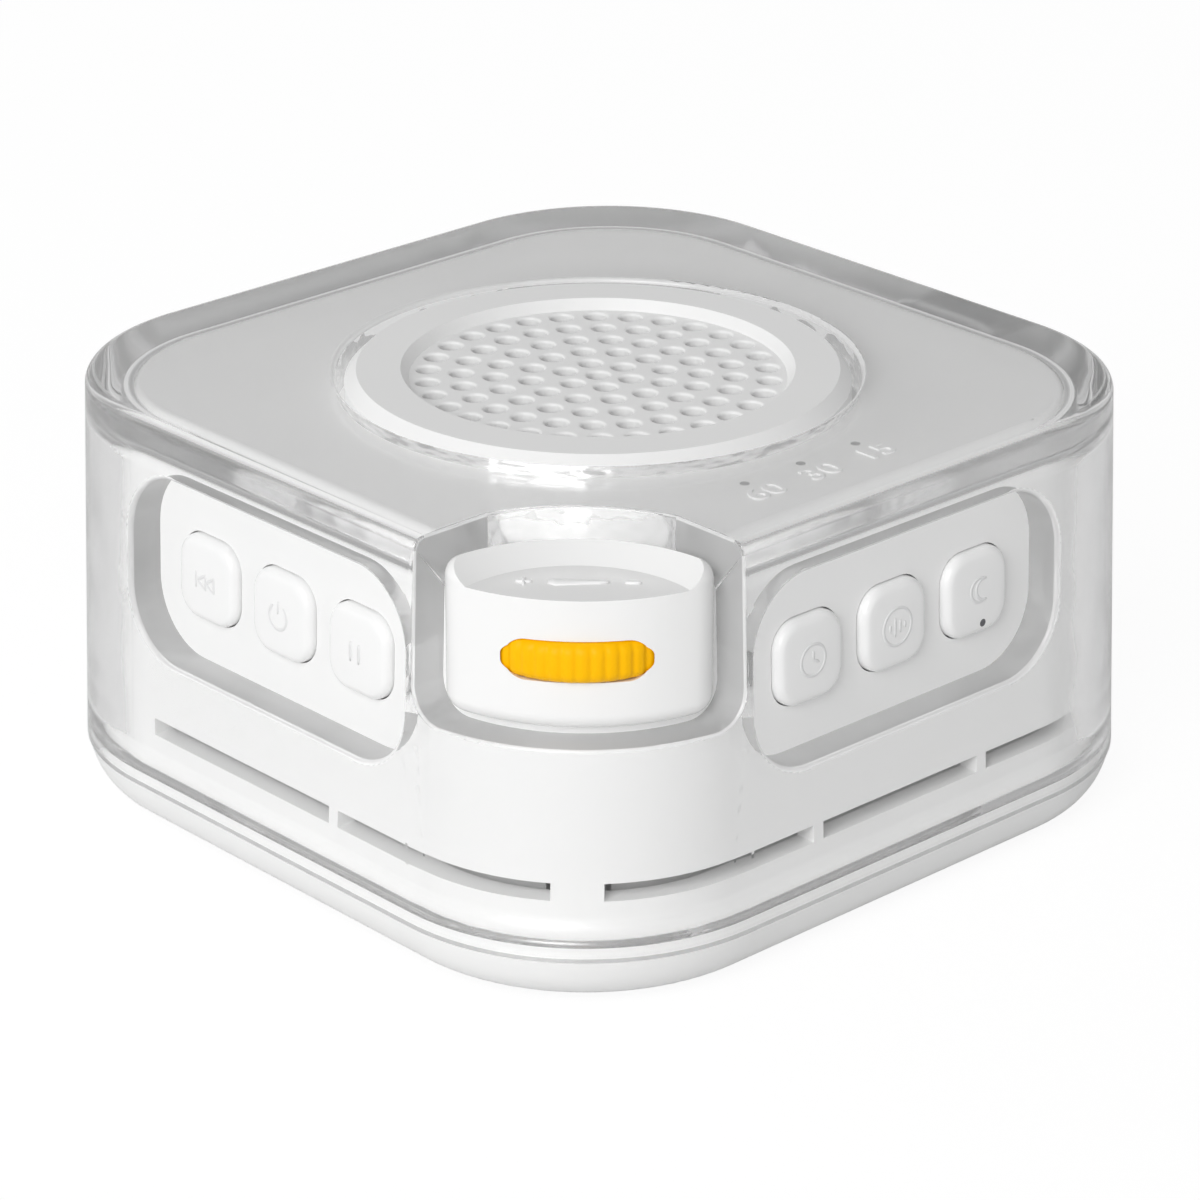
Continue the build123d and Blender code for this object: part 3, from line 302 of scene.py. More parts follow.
@dataclass(frozen=True)
class Metal:
    """Plated or drawn metal with fine streaks in its gloss."""

    name: str
    colour: Colour
    shade: Colour
    roughness: float = 0.3

    def material(self) -> bpy.types.Material:
        """Make the finish: fine streaks spread the roughness, and a cloud blends shade and colour.

        Returns:
            The material.
        """
        shader = Shader(bpy.data.materials.new(self.name))
        cloud = shader.cloud(5.0, 3.0)
        streak = shader.cloud(0.4, 2.0)
        body = shader.node("BsdfPrincipled", None, {
            "Base Color": shader.blend(cloud, self.shade, self.colour), "Metallic": 1.0,
            "Roughness": streak.ramp(0.3, 0.7, self.roughness - 0.08, self.roughness + 0.1),
            "Normal": shader.bump(streak, 0.003)})
        return shader.surface(body)


@dataclass(frozen=True)
class Woven:
    """Plain woven cloth: two crossed sets of threads."""

    name: str
    colour: Colour
    shade: Colour
    pitch_mm: float = 0.5

    def material(self) -> bpy.types.Material:
        """Make the finish: the weave is the larger of two waves that cross each other.

        Returns:
            The material.
        """
        shader = Shader(bpy.data.materials.new(self.name))
        scale = 1.0 / (self.pitch_mm * MM) / 6.0
        waves = [Socket(shader, shader.node("TexWave", {"bands_direction": way}, {
            "Vector": shader.place(), "Scale": scale}).outputs["Fac"]) for way in ("X", "Y")]
        weave = waves[0].maximum(waves[1])
        body = shader.node("BsdfPrincipled", None, {
            "Base Color": shader.blend(weave, self.shade, self.colour), "Roughness": 0.9,
            "Normal": shader.bump(weave, 0.08)})
        return shader.surface(body)


Finish = Moulded | ClearPlastic | Metal | Woven

WHITE_PLASTIC = Moulded("white_plastic", (0.885, 0.885, 0.88), (0.865, 0.867, 0.865))
WHITE_GRILLE = Moulded("white_grille", (0.87, 0.87, 0.866), (0.855, 0.857, 0.855), 0.42, 0.05, 0.22, 0.006)
WHITE_BUTTON = Moulded("white_button", (0.89, 0.89, 0.887), (0.872, 0.874, 0.873), 0.24, 0.05, 0.3, 0.003)
WHITE_POD = Moulded("white_pod", (0.905, 0.905, 0.90), (0.89, 0.89, 0.887), 0.22, 0.04, 0.3, 0.002,
                    coat=0.6)
# Grey marks, darker than the white caps: painted shade of the white relief icons.
MARK_GREY_PAINTED_SHADE = Moulded("raised_mark", (0.78, 0.78, 0.78), (0.74, 0.74, 0.745), 0.4, 0.05)
NUMBER_MARK = Moulded("number_mark", (0.93, 0.93, 0.93), (0.90, 0.90, 0.90), 0.3, 0.05)
ORANGE_WHEEL = Moulded("orange_wheel", (1.0, 0.53, 0.0), (0.99, 0.49, 0.0), 0.42, 0.06, 0.3, 0.004,
                       cloud_mm=4.0, specular=0.12)
# The liner behind the vent slots is a real grey part. Its grey is darkened to paint the shade inside the slots.
LINER_PAINTED_SLOT_SHADE = Moulded("liner_grey", (0.42, 0.42, 0.42), (0.38, 0.38, 0.38), 0.5, 0.06)
BLACK_PLASTIC = Moulded("black_plastic", (0.03, 0.03, 0.033), (0.022, 0.022, 0.024), 0.45)
PAPER_CONE = Moulded("paper_cone", (0.06, 0.06, 0.065), (0.04, 0.04, 0.044), 0.85, 0.08, 0.4, 0.05)
FERRITE = Moulded("ferrite", (0.07, 0.07, 0.075), (0.05, 0.05, 0.055), 0.6, 0.08, 0.3, 0.01)
SOFT_RUBBER = Moulded("soft_rubber", (0.05, 0.05, 0.052), (0.035, 0.035, 0.038), 0.6, 0.08)
FOOT_RUBBER = Moulded("foot_rubber", (0.58, 0.58, 0.57), (0.53, 0.53, 0.525), 0.65, 0.08, 0.2, 0.01)
SOLDER_MASK = Moulded("solder_mask", (0.02, 0.21, 0.08), (0.012, 0.15, 0.06), 0.3, 0.08, 0.8, 0.01)
WIRE_SLEEVE = Moulded("wire_sleeve", (0.55, 0.04, 0.04), (0.45, 0.03, 0.03), 0.45)
BATTERY_WRAP = Moulded("battery_wrap", (0.52, 0.55, 0.60), (0.46, 0.49, 0.54), 0.32, 0.06, 1.2, 0.03)
ZINC = Metal("zinc_screw", (0.72, 0.73, 0.75), (0.62, 0.63, 0.66))
NICKEL = Metal("nickel_steel", (0.62, 0.63, 0.65), (0.52, 0.53, 0.56), 0.26)
COPPER = Metal("copper", (0.85, 0.42, 0.22), (0.70, 0.32, 0.16))
# The cloth under the grille is a real part. Its dark grey paints the shade seen inside the grille's holes.
CLOTH_PAINTED_HOLE_SHADE = Woven("grille_cloth", (0.26, 0.26, 0.26), (0.16, 0.16, 0.165))
SPIDER_CLOTH = Woven("spider_cloth", (0.75, 0.56, 0.28), (0.6, 0.42, 0.2))
CLEAR_COVER = ClearPlastic("clear_cover")
COVER_INSIDE = ClearPlastic("cover_inside", roughness=0.16)
CUT_WALL = ClearPlastic("cut_wall", haze=0.8)
# The near-white haze on the clear rims paints the highlight of their lit roundings.
RIM_HIGHLIGHT_HAZE = ClearPlastic("rim_painted_highlight", haze=0.55, haze_colour=(0.95, 0.95, 0.95), haze_shade=(0.9, 0.9, 0.9))
RIPPLED_WALL = ClearPlastic("rippled_wall", ripple_mm=0.5, haze_mm=3.0)
LIGHT_PIPE = ClearPlastic("light_pipe", roughness=0.15, haze=0.6)
PIN_LENS = Moulded("pin_lens", (0.13, 0.13, 0.14), (0.09, 0.09, 0.1), 0.25)


# ---- mesh building ----
def link_mesh(name: str, points: np.ndarray, faces: Sequence[Sequence[int]]) -> bpy.types.Object:
    """Put points and faces into a smooth-shaded mesh object.

    Args:
        name: the piece's name.
        points: places in millimetres, one row each.
        faces: rows of point numbers.

    Returns:
        The object, at the origin.
    """
    mesh = bpy.data.meshes.new(name)
    mesh.from_pydata((points * MM).tolist(), [], faces)
    mesh.polygons.foreach_set("use_smooth", np.ones(len(mesh.polygons), bool))
    mesh.update()
    piece = bpy.data.objects.new(name, mesh)
    bpy.context.scene.collection.objects.link(piece)
    return piece


def merge_doubles(mesh: bpy.types.Mesh, reach: float) -> None:
    """Join the points of a mesh that lie close together.

    Args:
        mesh: the mesh.
        reach: the largest distance that is joined, in metres.
    """
    work = bmesh.new()
    work.from_mesh(mesh)
    bmesh.ops.remove_doubles(work, verts=work.verts, dist=reach)
    work.to_mesh(mesh)
    work.free()


def capped_rings(rings: np.ndarray) -> tuple[np.ndarray, list[list[int]]]:
    """Closed skin over stacked rings: quads between them and a fan to the middle of each end.

    Args:
        rings: array of rings, points and three coordinates, each ring anticlockwise seen from outside
            its last ring.

    Returns:
        Points and faces.
    """
    rows, columns, _ = rings.shape
    ends = np.stack([rings[0].mean(0), rings[-1].mean(0)])
    points = np.vstack([rings.reshape(-1, 3), ends])
    row, column = np.meshgrid(np.arange(rows - 1), np.arange(columns), indexing="ij")
    after = (column + 1) % columns
    quads = np.stack([row * columns + column, row * columns + after,
                      (row + 1) * columns + after, (row + 1) * columns + column], -1).reshape(-1, 4)
    step, last = np.arange(columns), (rows - 1) * columns
    turned = np.roll(step, -1)
    low = np.stack([turned, step, np.full(columns, rows * columns)], -1)
    high = np.stack([last + step, last + turned, np.full(columns, rows * columns + 1)], -1)
    return points, quads.tolist() + low.tolist() + high.tolist()


def rounded_square(half: float, radius: float, corner_steps: int = 10, side_steps: int = 8) -> tuple[
        np.ndarray, np.ndarray]:
    """Outline of a rounded square and its outward normals.

    A corner's points are its centre plus the radius times (cos a, sin a) over a quarter turn; a side's
    points divide the straight run between two corners evenly.

    Args:
        half: half of the square's width.
        radius: corner radius.
        corner_steps: divisions of a corner.
        side_steps: divisions of a side.

    Returns:
        Points and normals, anticlockwise, two coordinates each.
    """
    angle = np.linspace(0, math.pi / 2, corner_steps + 1)
    arc = np.stack([np.cos(angle), np.sin(angle)], -1)
    share = np.linspace(0, 1, side_steps + 1)[1:-1, None]
    points, normals = [], []
    for turn in range(4):
        c, s = round(math.cos(turn * math.pi / 2)), round(math.sin(turn * math.pi / 2))
        spin = np.array([[c, s], [-s, c]])
        corner = np.array([half - radius, half - radius]) + radius * arc
        across = np.array([half - radius, half]) * (1 - share) + np.array([radius - half, half]) * share
        points.append(np.vstack([corner, across]) @ spin)
        normals.append(np.vstack([arc, np.repeat([[0.0, 1.0]], len(across), 0)]) @ spin)
    return np.vstack(points), np.vstack(normals)


def lean(z: np.ndarray | float) -> np.ndarray | float:
    """How far a side face has moved inwards at a height: tan(draft) times the height above the seam."""
    return (z - SEAM_Z) * math.tan(DRAFT)


def inset_of(x: np.ndarray, y: np.ndarray, z: np.ndarray) -> np.ndarray:
    """How far inside the body's outline points lie.

    Args:
        x: places along X.
        y: places along Y.
        z: heights.

    Returns:
        The corner radius less the lean and less the distance from the corner's centre lines.
    """
    centre = BODY_WIDTH / 2 - CORNER_RADIUS
    along_x, along_y = np.maximum(np.abs(x) - centre, 0), np.maximum(np.abs(y) - centre, 0)
    return CORNER_RADIUS - lean(z) - np.hypot(along_x, along_y)


def merged_copy(node: str, name: str, crease: float = 28.0) -> bpy.types.Object:
    """Copy a CAD node's mesh, join its triangles and smooth it between its creases.

    Args:
        node: the CAD node.
        name: the new piece's name.
        crease: the angle in degrees above which an edge stays sharp.

    Returns:
        The smoothed piece, which stands for the node.
    """
    mesh = frame["nodes"][node].data.copy()
    mesh.name = name
    for layer in [a.name for a in mesh.attributes if a.name == "custom_normal"]:
        mesh.attributes.remove(mesh.attributes[layer])
    merge_doubles(mesh, 0.5e-6)
    mesh.polygons.foreach_set("use_smooth", np.ones(len(mesh.polygons), bool))
    mesh.set_sharp_from_angle(angle=math.radians(crease))
    piece = bpy.data.objects.new(name, mesh)
    bpy.context.scene.collection.objects.link(piece)
    weigh = piece.modifiers.new("even_shading", "WEIGHTED_NORMAL")
    weigh.mode = "FACE_AREA"
    weigh.weight = 100
    weigh.keep_sharp = True
    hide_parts(node)
    return piece


def finish_piece(piece: bpy.types.Object, body: str, material: bpy.types.Material) -> None:
    """Dress a new piece and fix it to its body.

    Args:
        piece: the piece.
        body: the body that it moves with.
        material: its finish.
    """
    piece.data.materials.clear()
    piece.data.materials.append(material)
    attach(piece, body)
    LOG.info("%s: %d faces on %s", piece.name, len(piece.data.polygons), body)


class Face(Enum):
    """The two faces that carry buttons."""

    LEFT = "left"
    RIGHT = "right"

    def place(self, across: np.ndarray, out: np.ndarray, z: np.ndarray) -> np.ndarray:
        """World places from places on the face.

        The left face looks along -Y. The right face is its mirror image in the front corner's diagonal
        plane, so X and Y change places and signs.

        Args:
            across: distance along the face towards the front corner.
            out: distance from the body's axis.
            z: height.

        Returns:
            Rows of three coordinates.
        """
        x, y = across, -out
        if self is Face.RIGHT:
            x, y = out, -across
        return np.stack(np.broadcast_arrays(x, y, z), -1)


# ---- raised marks ----
Line = tuple[tuple[float, float], ...]


@dataclass(frozen=True)
class Stroke:
    """A line of a raised mark, in millimetres from the mark's middle, drawn left to right."""

    points: Line
    closed: bool = False
    width: float = 0.36
    end_width: float | None = None
    height: float = 0.1

    @property
    def line(self) -> np.ndarray:
        """The line's points."""
        return np.array(self.points, float)

    def sides(self) -> np.ndarray:
        """Unit vectors square to the line at each point.

        Returns:
            One row for each point, on the line's right.
        """
        line = self.line
        if self.closed:
            along = np.roll(line, -1, 0) - np.roll(line, 1, 0)
        else:
            along = np.gradient(line, axis=0)
        along /= np.linalg.norm(along, axis=1, keepdims=True)
        return np.stack([along[:, 1], -along[:, 0]], -1)

    def half_widths(self) -> np.ndarray:
        """Half of the ridge's width at each point: even or tapering, and narrower at open ends.

        Returns:
            One number for each point.
        """
        last = self.width if self.end_width is None else self.end_width
        half = np.linspace(self.width / 2, last / 2, len(self.points))
        if not self.closed:
            half[[0, -1]] *= 0.4
        return half


def arc_line(radius: float, start: float, end: float, centre: tuple[float, float] = (0.0, 0.0),
             steps: int = 24) -> Line:
    """Points of an arc: centre plus radius times (cos a, sin a), a in degrees.

    Args:
        radius: the arc's radius.
        start: first angle.
        end: last angle.
        centre: its centre.
        steps: number of points.

    Returns:
        The points.
    """
    angle = np.radians(np.linspace(start, end, steps))
    return tuple(zip(centre[0] + radius * np.cos(angle), centre[1] + radius * np.sin(angle)))


def straight(first: tuple[float, float], last: tuple[float, float], steps: int = 5) -> Line:
    """Points that divide a straight run evenly."""
    share = np.linspace(0, 1, steps)
    return tuple(zip(first[0] + (last[0] - first[0]) * share, first[1] + (last[1] - first[1]) * share))


def triangle(tip: tuple[float, float], base_x: float, half: float) -> Line:
    """Closed outline of a triangle with evenly divided sides.

    Args:
        tip: its left corner.
        base_x: where its upright side stands.
        half: half of that side's length.

    Returns:
        The points.
    """
    corners = [tip, (base_x, tip[1] + half), (base_x, tip[1] - half)]
    runs = [straight(a, b, 7)[:-1] for a, b in zip(corners, corners[1:] + corners[:1])]
    return tuple(point for run in runs for point in run)


Place = Callable[[np.ndarray, np.ndarray], np.ndarray]


def ridge(stroke: Stroke, start: int, place: Place) -> tuple[np.ndarray, list[list[int]]]:
    """One closed ridge along a stroke, with a half-round section.

    The section at each step is the stroke's place plus w cos(a) along its side and h sin(a) out of
    the surface, over a half turn, sunk a little below the surface and closed underneath.

    Args:
        stroke: the stroke's line and width.
        start: number of the ridge's first point.
        place: turns plan places and lifts into world places.

    Returns:
        Points and faces.
    """
    angle = np.linspace(0, math.pi, 7)
    spread = stroke.half_widths()[:, None, None] * np.cos(angle)[None, :, None]
    plan = stroke.line[:, None] + stroke.sides()[:, None] * spread
    lift = np.broadcast_to(stroke.height * np.sin(angle) - 0.03, plan.shape[:2])
    rows, columns = plan.shape[:2]
    row, column = np.meshgrid(np.arange(rows if stroke.closed else rows - 1), np.arange(columns),
                              indexing="ij")
    next_row, next_column = (row + 1) % rows, (column + 1) % columns
    quads = np.stack([row * columns + column, next_row * columns + column,
                      next_row * columns + next_column, row * columns + next_column], -1)
    faces = (quads.reshape(-1, 4) + start).tolist()
    if not stroke.closed:
        first, last = np.arange(columns) + start, (rows - 1) * columns + np.arange(columns)[::-1] + start
        faces += [first.tolist(), last.tolist()]
    return place(plan, lift).reshape(-1, 3), faces


def raised_mark(name: str, strokes: Sequence[Stroke], place: Place) -> bpy.types.Object:
    """Join the ridges of a mark into one piece.

    Args:
        name: the piece's name.
        strokes: the mark's lines.
        place: turns plan places and lifts into world places.

    Returns:
        The piece.
    """
    points, faces = [], []
    for stroke in strokes:
        strip, quads = ridge(stroke, sum(len(p) for p in points), place)
        points.append(strip)
        faces += quads
    return link_mesh(name, np.vstack(points), faces)


MARKS: dict[str, list[Stroke]] = {
    "previous": [Stroke(straight((-1.25, -0.85), (-1.25, 0.85))),
                 Stroke(triangle((-0.95, 0.0), 0.2, 0.75), True),
                 Stroke(triangle((0.35, 0.0), 1.5, 0.75), True)],
    "power": [Stroke(arc_line(1.3, 125, 415, steps=40)), Stroke(straight((0.0, 0.3), (0.0, 1.6)))],
    "pause": [Stroke(straight((-0.6, -1.0), (-0.6, 1.0)), width=0.5),
              Stroke(straight((0.6, -1.0), (0.6, 1.0)), width=0.5)],
    "timer": [Stroke(arc_line(1.6, 0, 352.5, steps=48), True), Stroke(straight((0.0, 0.95), (0.0, 0.0))),
              Stroke(straight((0.0, 0.0), (0.75, -0.35)))],
    "sound": [Stroke(arc_line(1.9, 0, 352.5, steps=48), True)] + [
        Stroke(straight((x, -half), (x, half)))
        for x, half in ((-1.0, 0.4), (-0.35, 0.95), (0.35, 0.65), (1.0, 0.3))],
    "auto": [Stroke(arc_line(1.25, 60, 300, (0.1, 0.4), 30)),
             Stroke(arc_line(1.12, 75, 285, (0.72, 0.4), 24))],
}


# ---- the machine's sub-assemblies ----
class CoverFace(Enum):
    """Kinds of face on the clear cover, each with its finish."""

    POLISHED = CLEAR_COVER
    SATIN = CUT_WALL
    RIPPLED = RIPPLED_WALL
    # Near-white haze on the openings' rims: a painted highlight.
    BRIGHT_RIM = RIM_HIGHLIGHT_HAZE
    SOFT_INSIDE = COVER_INSIDE


@dataclass
class ClearCoverPiece:
    """The thick clear cover: polished all over, but satin on the cut walls of its openings."""

    crease: float = 30.0
    wall: float = 3.8
    ceiling_z: float = 40.4
    top_z: float = 44.6
    lip_z: float = 9.0
    rim: float = 0.52
    near: float = 0.05
    edge: float = 0.03
    rim_reach: float = 2.5
    top_inset: float = 1.5
    pod_back_out: float = 56.6
    pod_back_radius: float = 19.8
    pod_back_near: float = 0.3
    grille_reach: float = 28.0
    foot_height: float = 0.6

    def finish_numbers(self, mesh: bpy.types.Mesh) -> np.ndarray:
        """Number each face's finish by its place, in the order of CoverFace.

        The cut walls of the windows and the pod's gap are satin, as is the foot's underside. A face is
        on a cut wall if its middle lies within the side wall's thickness, away from the rounded rims,
        or if it stands upright in the top. The walls behind the pod and round the grille are rippled,
        the rounded rims of all the openings get a near-white haze that paints a highlight on them, and
        the faces towards the shell are soft. A rim's face has a corner below the outside, which no face
        of the outside has.

        Args:
            mesh: the cover's mesh.

        Returns:
            One number for each face.
        """
        middles, normals = np.empty(len(mesh.polygons) * 3), np.empty(len(mesh.polygons) * 3)
        mesh.polygons.foreach_get("center", middles)
        mesh.polygons.foreach_get("normal", normals)
        corners, points = np.empty(len(mesh.loops), np.int32), np.empty(len(mesh.vertices) * 3)
        mesh.loops.foreach_get("vertex_index", corners)
        mesh.vertices.foreach_get("co", points)
        deepest = inset_of(*points.reshape(-1, 3)[corners].T / MM).reshape(-1, 3).max(1)
        x, y, z = middles.reshape(-1, 3).T / MM
        rise = normals.reshape(-1, 3)[:, 2]
        depth = inset_of(x, y, z)
        above_lip, below_ceiling = z > self.lip_z, z < self.ceiling_z
        upright, rims_top = np.abs(rise) < 0.5, self.top_z - self.rim
        on_side = (depth > self.rim) & (depth < self.wall - self.near) & above_lip & below_ceiling
        in_top = upright & (depth > self.rim) & (z > self.ceiling_z + self.near) & (z < rims_top)
        out, side = (x - y) * DIAGONAL - self.pod_back_out, (x + y) * DIAGONAL
        from_back = np.abs(np.hypot(out, side) - self.pod_back_radius)
        behind_pod = (from_back < self.pod_back_near) & (out < 0) & upright
        round_grille = in_top & (np.hypot(x, y) < self.grille_reach)
        low_enough = z < self.ceiling_z + self.rim_reach
        side_rims = (deepest > self.edge) & (depth <= self.rim) & above_lip & low_enough
        top_rims = (z > rims_top) & (z < self.top_z - self.edge) & (depth > self.top_inset)
        foot = (z < SEAM_Z + self.foot_height) & (rise < -0.5)
        inside = (depth >= self.wall - self.near) & (z < self.ceiling_z + self.near)
        order = list(CoverFace)
        kinds = [(behind_pod | round_grille, CoverFace.RIPPLED),
                 (side_rims | top_rims, CoverFace.BRIGHT_RIM),
                 (on_side | in_top | foot, CoverFace.SATIN),
                 (inside, CoverFace.SOFT_INSIDE)]
        return np.select([there for there, _ in kinds], [order.index(kind) for _, kind in kinds],
                         order.index(CoverFace.POLISHED))

    def build(self) -> None:
        """Copy, smooth and dress the cover."""
        piece = merged_copy("clear_cover", "cover_clear", self.crease)
        first, *others = [kind.value.material() for kind in CoverFace]
        finish_piece(piece, "housing", first)
        for material in others:
            piece.data.materials.append(material)
        numbers = self.finish_numbers(piece.data)
        piece.data.polygons.foreach_set("material_index", numbers.astype(np.int32))
        LOG.info("%s: %s faces of each finish", piece.name, np.bincount(numbers).tolist())


@dataclass
class WhiteHousing:
    """Inner shell, base, pod and grille ring, all moulded in white."""

    crease: float = 28.0
    pod_crease: float = 20.0

    def build(self) -> None:
        """Copy, smooth and dress each white moulding."""
        white = WHITE_PLASTIC.material()
        for node, name, crease, material in [
                ("inner_shell", "shell_white", self.crease, white),
                ("base_shell", "base_white", self.crease, white),
                ("volume_pod", "pod_white", self.pod_crease, WHITE_POD.material()),
                ("speaker_grille", "grille_white", self.crease, WHITE_GRILLE.material())]:
            finish_piece(merged_copy(node, name, crease), "housing", material)


@dataclass
class Button:
    """One push button: a pillowed cap whose front leans with the face, and its flange behind."""

    name: str
    face: Face
    across: float
    size: float = 8.7
    radius: float = 2.8
    z: float = 28.7
    proud: float = 1.0
    rim: float = 0.8
    pillow: float = 0.16
    flange_margin: float = 0.8
    flange_thickness: float = 0.8
    back_share: float = 0.6
    gap: float = 0.15
    shell_wall: float = 2.2

    def front_out(self, z: np.ndarray) -> np.ndarray:
        """Distance of the cap's leaning front from the body's axis at a height."""
        return BODY_WIDTH / 2 - (SHELL_INSET - self.proud) - lean(z)

    def back_out(self) -> float:
        """Distance of the flange's back from the body's axis."""
        top = self.z + self.size / 2 + self.flange_margin
        return BODY_WIDTH / 2 - SHELL_INSET - self.shell_wall - lean(top) - self.gap - self.flange_thickness

    def cap_height(self, x: np.ndarray, z: np.ndarray) -> np.ndarray:
        """Swell of the front over its middle: pillow times (1 - u^2)(1 - v^2), u and v from -1 to 1."""
        half = self.size / 2
        return self.pillow * np.clip(1 - (x / half) ** 2, 0, 1) * np.clip(1 - (z / half) ** 2, 0, 1)

    def rings(self) -> np.ndarray:
        """Rings of the button from its back to the middle of its front.

        Each ring is the outline moved inwards along its normals. The rim is a quarter circle: inset =
        rim (1 - cos a), drop = rim (1 - sin a). Inside it the rings shrink towards the middle.

        Returns:
            Array of rings, points and three world coordinates.
        """
        outline, normals = rounded_square(self.size / 2, self.radius)
        wide, _ = rounded_square(self.size / 2 + self.flange_margin, self.radius)
        flange_out = self.back_out() + self.flange_thickness
        made = [self.on_face(wide * self.back_share, self.back_out()), self.on_face(wide, self.back_out()),
                self.on_face(wide, flange_out), self.on_face(outline, flange_out)]
        for angle in np.linspace(0, math.pi / 2, 7):
            ring = outline - normals * self.rim * (1 - math.cos(angle))
            made.append(self.on_front(ring, -self.rim * (1 - math.sin(angle))))
        for share in (0.86, 0.7, 0.52, 0.34, 0.16):
            made.append(self.on_front((outline - normals * self.rim) * share, 0.0))
        return np.stack(made)

    def on_face(self, plan: np.ndarray, out: float) -> np.ndarray:
        """Places of a plan at one distance from the body's axis."""
        return self.face.place(self.across + plan[:, 0], np.full(len(plan), out), self.z + plan[:, 1])

    def on_front(self, plan: np.ndarray, lift: float) -> np.ndarray:
        """Places of a plan on the swelling front.

        Args:
            plan: rows of places from the cap's middle.
            lift: distance out of the front.

        Returns:
            World places.
        """
        z = self.z + plan[:, 1]
        out = self.front_out(z) + self.cap_height(plan[:, 0], plan[:, 1]) + lift
        return self.face.place(self.across + plan[:, 0], out, z)

    def build(self, cap: bpy.types.Material, mark: bpy.types.Material) -> None:
        """Make the cap and its raised mark.

        Args:
            cap: finish of the cap.
            mark: finish of the mark.
        """
        points, faces = capped_rings(self.rings())
        if self.face is Face.RIGHT:
            faces = [face[::-1] for face in faces]
        piece = link_mesh("button_cap_" + self.name, points, faces)
        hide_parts("button_" + self.name)
        finish_piece(piece, self.name + "_button", cap)
        raised = raised_mark("mark_" + self.name, MARKS[self.name], self.on_mark)
        finish_piece(raised, self.name + "_button", mark)

    def on_mark(self, plan: np.ndarray, lift: np.ndarray) -> np.ndarray:
        """Places of a mark on the front.

        Args:
            plan: places from the cap's middle, whose first axis runs from left to right for a viewer.
            lift: distances out of the front.

        Returns:
            World places.
        """
        way = 1 if self.face is Face.LEFT else -1
        z = self.z + plan[..., 1]
        out = self.front_out(z) + self.cap_height(plan[..., 0], plan[..., 1]) + lift
        return self.face.place(self.across + way * plan[..., 0], out, z)


@dataclass
class PinLens:
    """The dark pinhole lens in a button: a rod whose front is a low dome."""

    button: Button
    shift: float = 0.6
    drop: float = 3.2
    radius: float = 0.4
    depth: float = 2.9
    rise: float = 0.05

    def build(self) -> None:
        """Make the rod: straight up to the front, then a dome whose height falls with the square."""
        shares = np.array([1.0, 1.0, 0.9, 0.65, 0.35, 0.12])
        lifts = np.concatenate([[-self.depth], 0.01 + self.rise * (1 - shares[1:] ** 2)])
        angle = np.linspace(0, 2 * math.pi, 24, endpoint=False)
        circle = np.stack([np.cos(angle), np.sin(angle)], -1)
        middle = np.array([self.shift, -self.drop])
        rings = [self.button.on_mark(middle + self.radius * share * circle, np.full(len(circle), lift))
                 for share, lift in zip(shares, lifts)]
        piece = link_mesh("pin_lens", *capped_rings(np.stack(rings)))
        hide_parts("auto_button_lens")
        finish_piece(piece, self.button.name + "_button", PIN_LENS.material())


@dataclass
class ButtonRows:
    """The three buttons on each of the two faces."""

    centre: float = -1.8
    pitch: float = 11.45
    left: tuple[str, ...] = ("previous", "power", "pause")
    right: tuple[str, ...] = ("auto", "sound", "timer")

    def build(self) -> None:
        """Make all six buttons."""
        # The marks' grey, darker than the white caps, is painted shade of the white relief.
        cap, mark = WHITE_BUTTON.material(), MARK_GREY_PAINTED_SHADE.material()
        for face, names in ((Face.LEFT, self.left), (Face.RIGHT, self.right)):
            for step, name in zip((-1, 0, 1), names):
                Button(name, face, self.centre + step * self.pitch).build(cap, mark)
        PinLens(Button(self.right[0], Face.RIGHT, self.centre - self.pitch)).build()


@dataclass
class PodMarks:
    """Raised marks on the pod's ledge: louder at the left, a tapering wedge, softer at the right."""

    out: float = 45.8
    ledge_z: float = 40.8
    side: float = 5.0
    arm: float = 0.75

    def strokes(self) -> list[Stroke]:
        """The plus, the wedge and the minus.

        Returns:
            Their strokes.
        """
        wide = {"width": 0.4, "height": 0.25}
        left, right = -self.side, self.side
        return [Stroke(straight((left - self.arm, 0.0), (left + self.arm, 0.0)), **wide),
                Stroke(straight((left, -self.arm), (left, self.arm)), **wide),
                Stroke(straight((-2.8, 0.0), (2.8, 0.0), 9), width=1.7, end_width=0.3, height=0.25),
                Stroke(straight((right - self.arm, 0.0), (right + self.arm, 0.0)), **wide)]

    def on_ledge(self, plan: np.ndarray, lift: np.ndarray) -> np.ndarray:
        """Places of a plan on the ledge.

        Args:
            plan: places whose first axis runs from left to right, seen from the front corner.
            lift: distances above the ledge.

        Returns:
            World places.
        """
        out = self.out - plan[..., 1]
        return np.stack([(out + plan[..., 0]) * DIAGONAL, (plan[..., 0] - out) * DIAGONAL,
                         self.ledge_z + lift], -1)

    def build(self) -> None:
        """Make the marks as one piece."""
        piece = raised_mark("pod_marks", self.strokes(), self.on_ledge)
        finish_piece(piece, "housing", NUMBER_MARK.material())


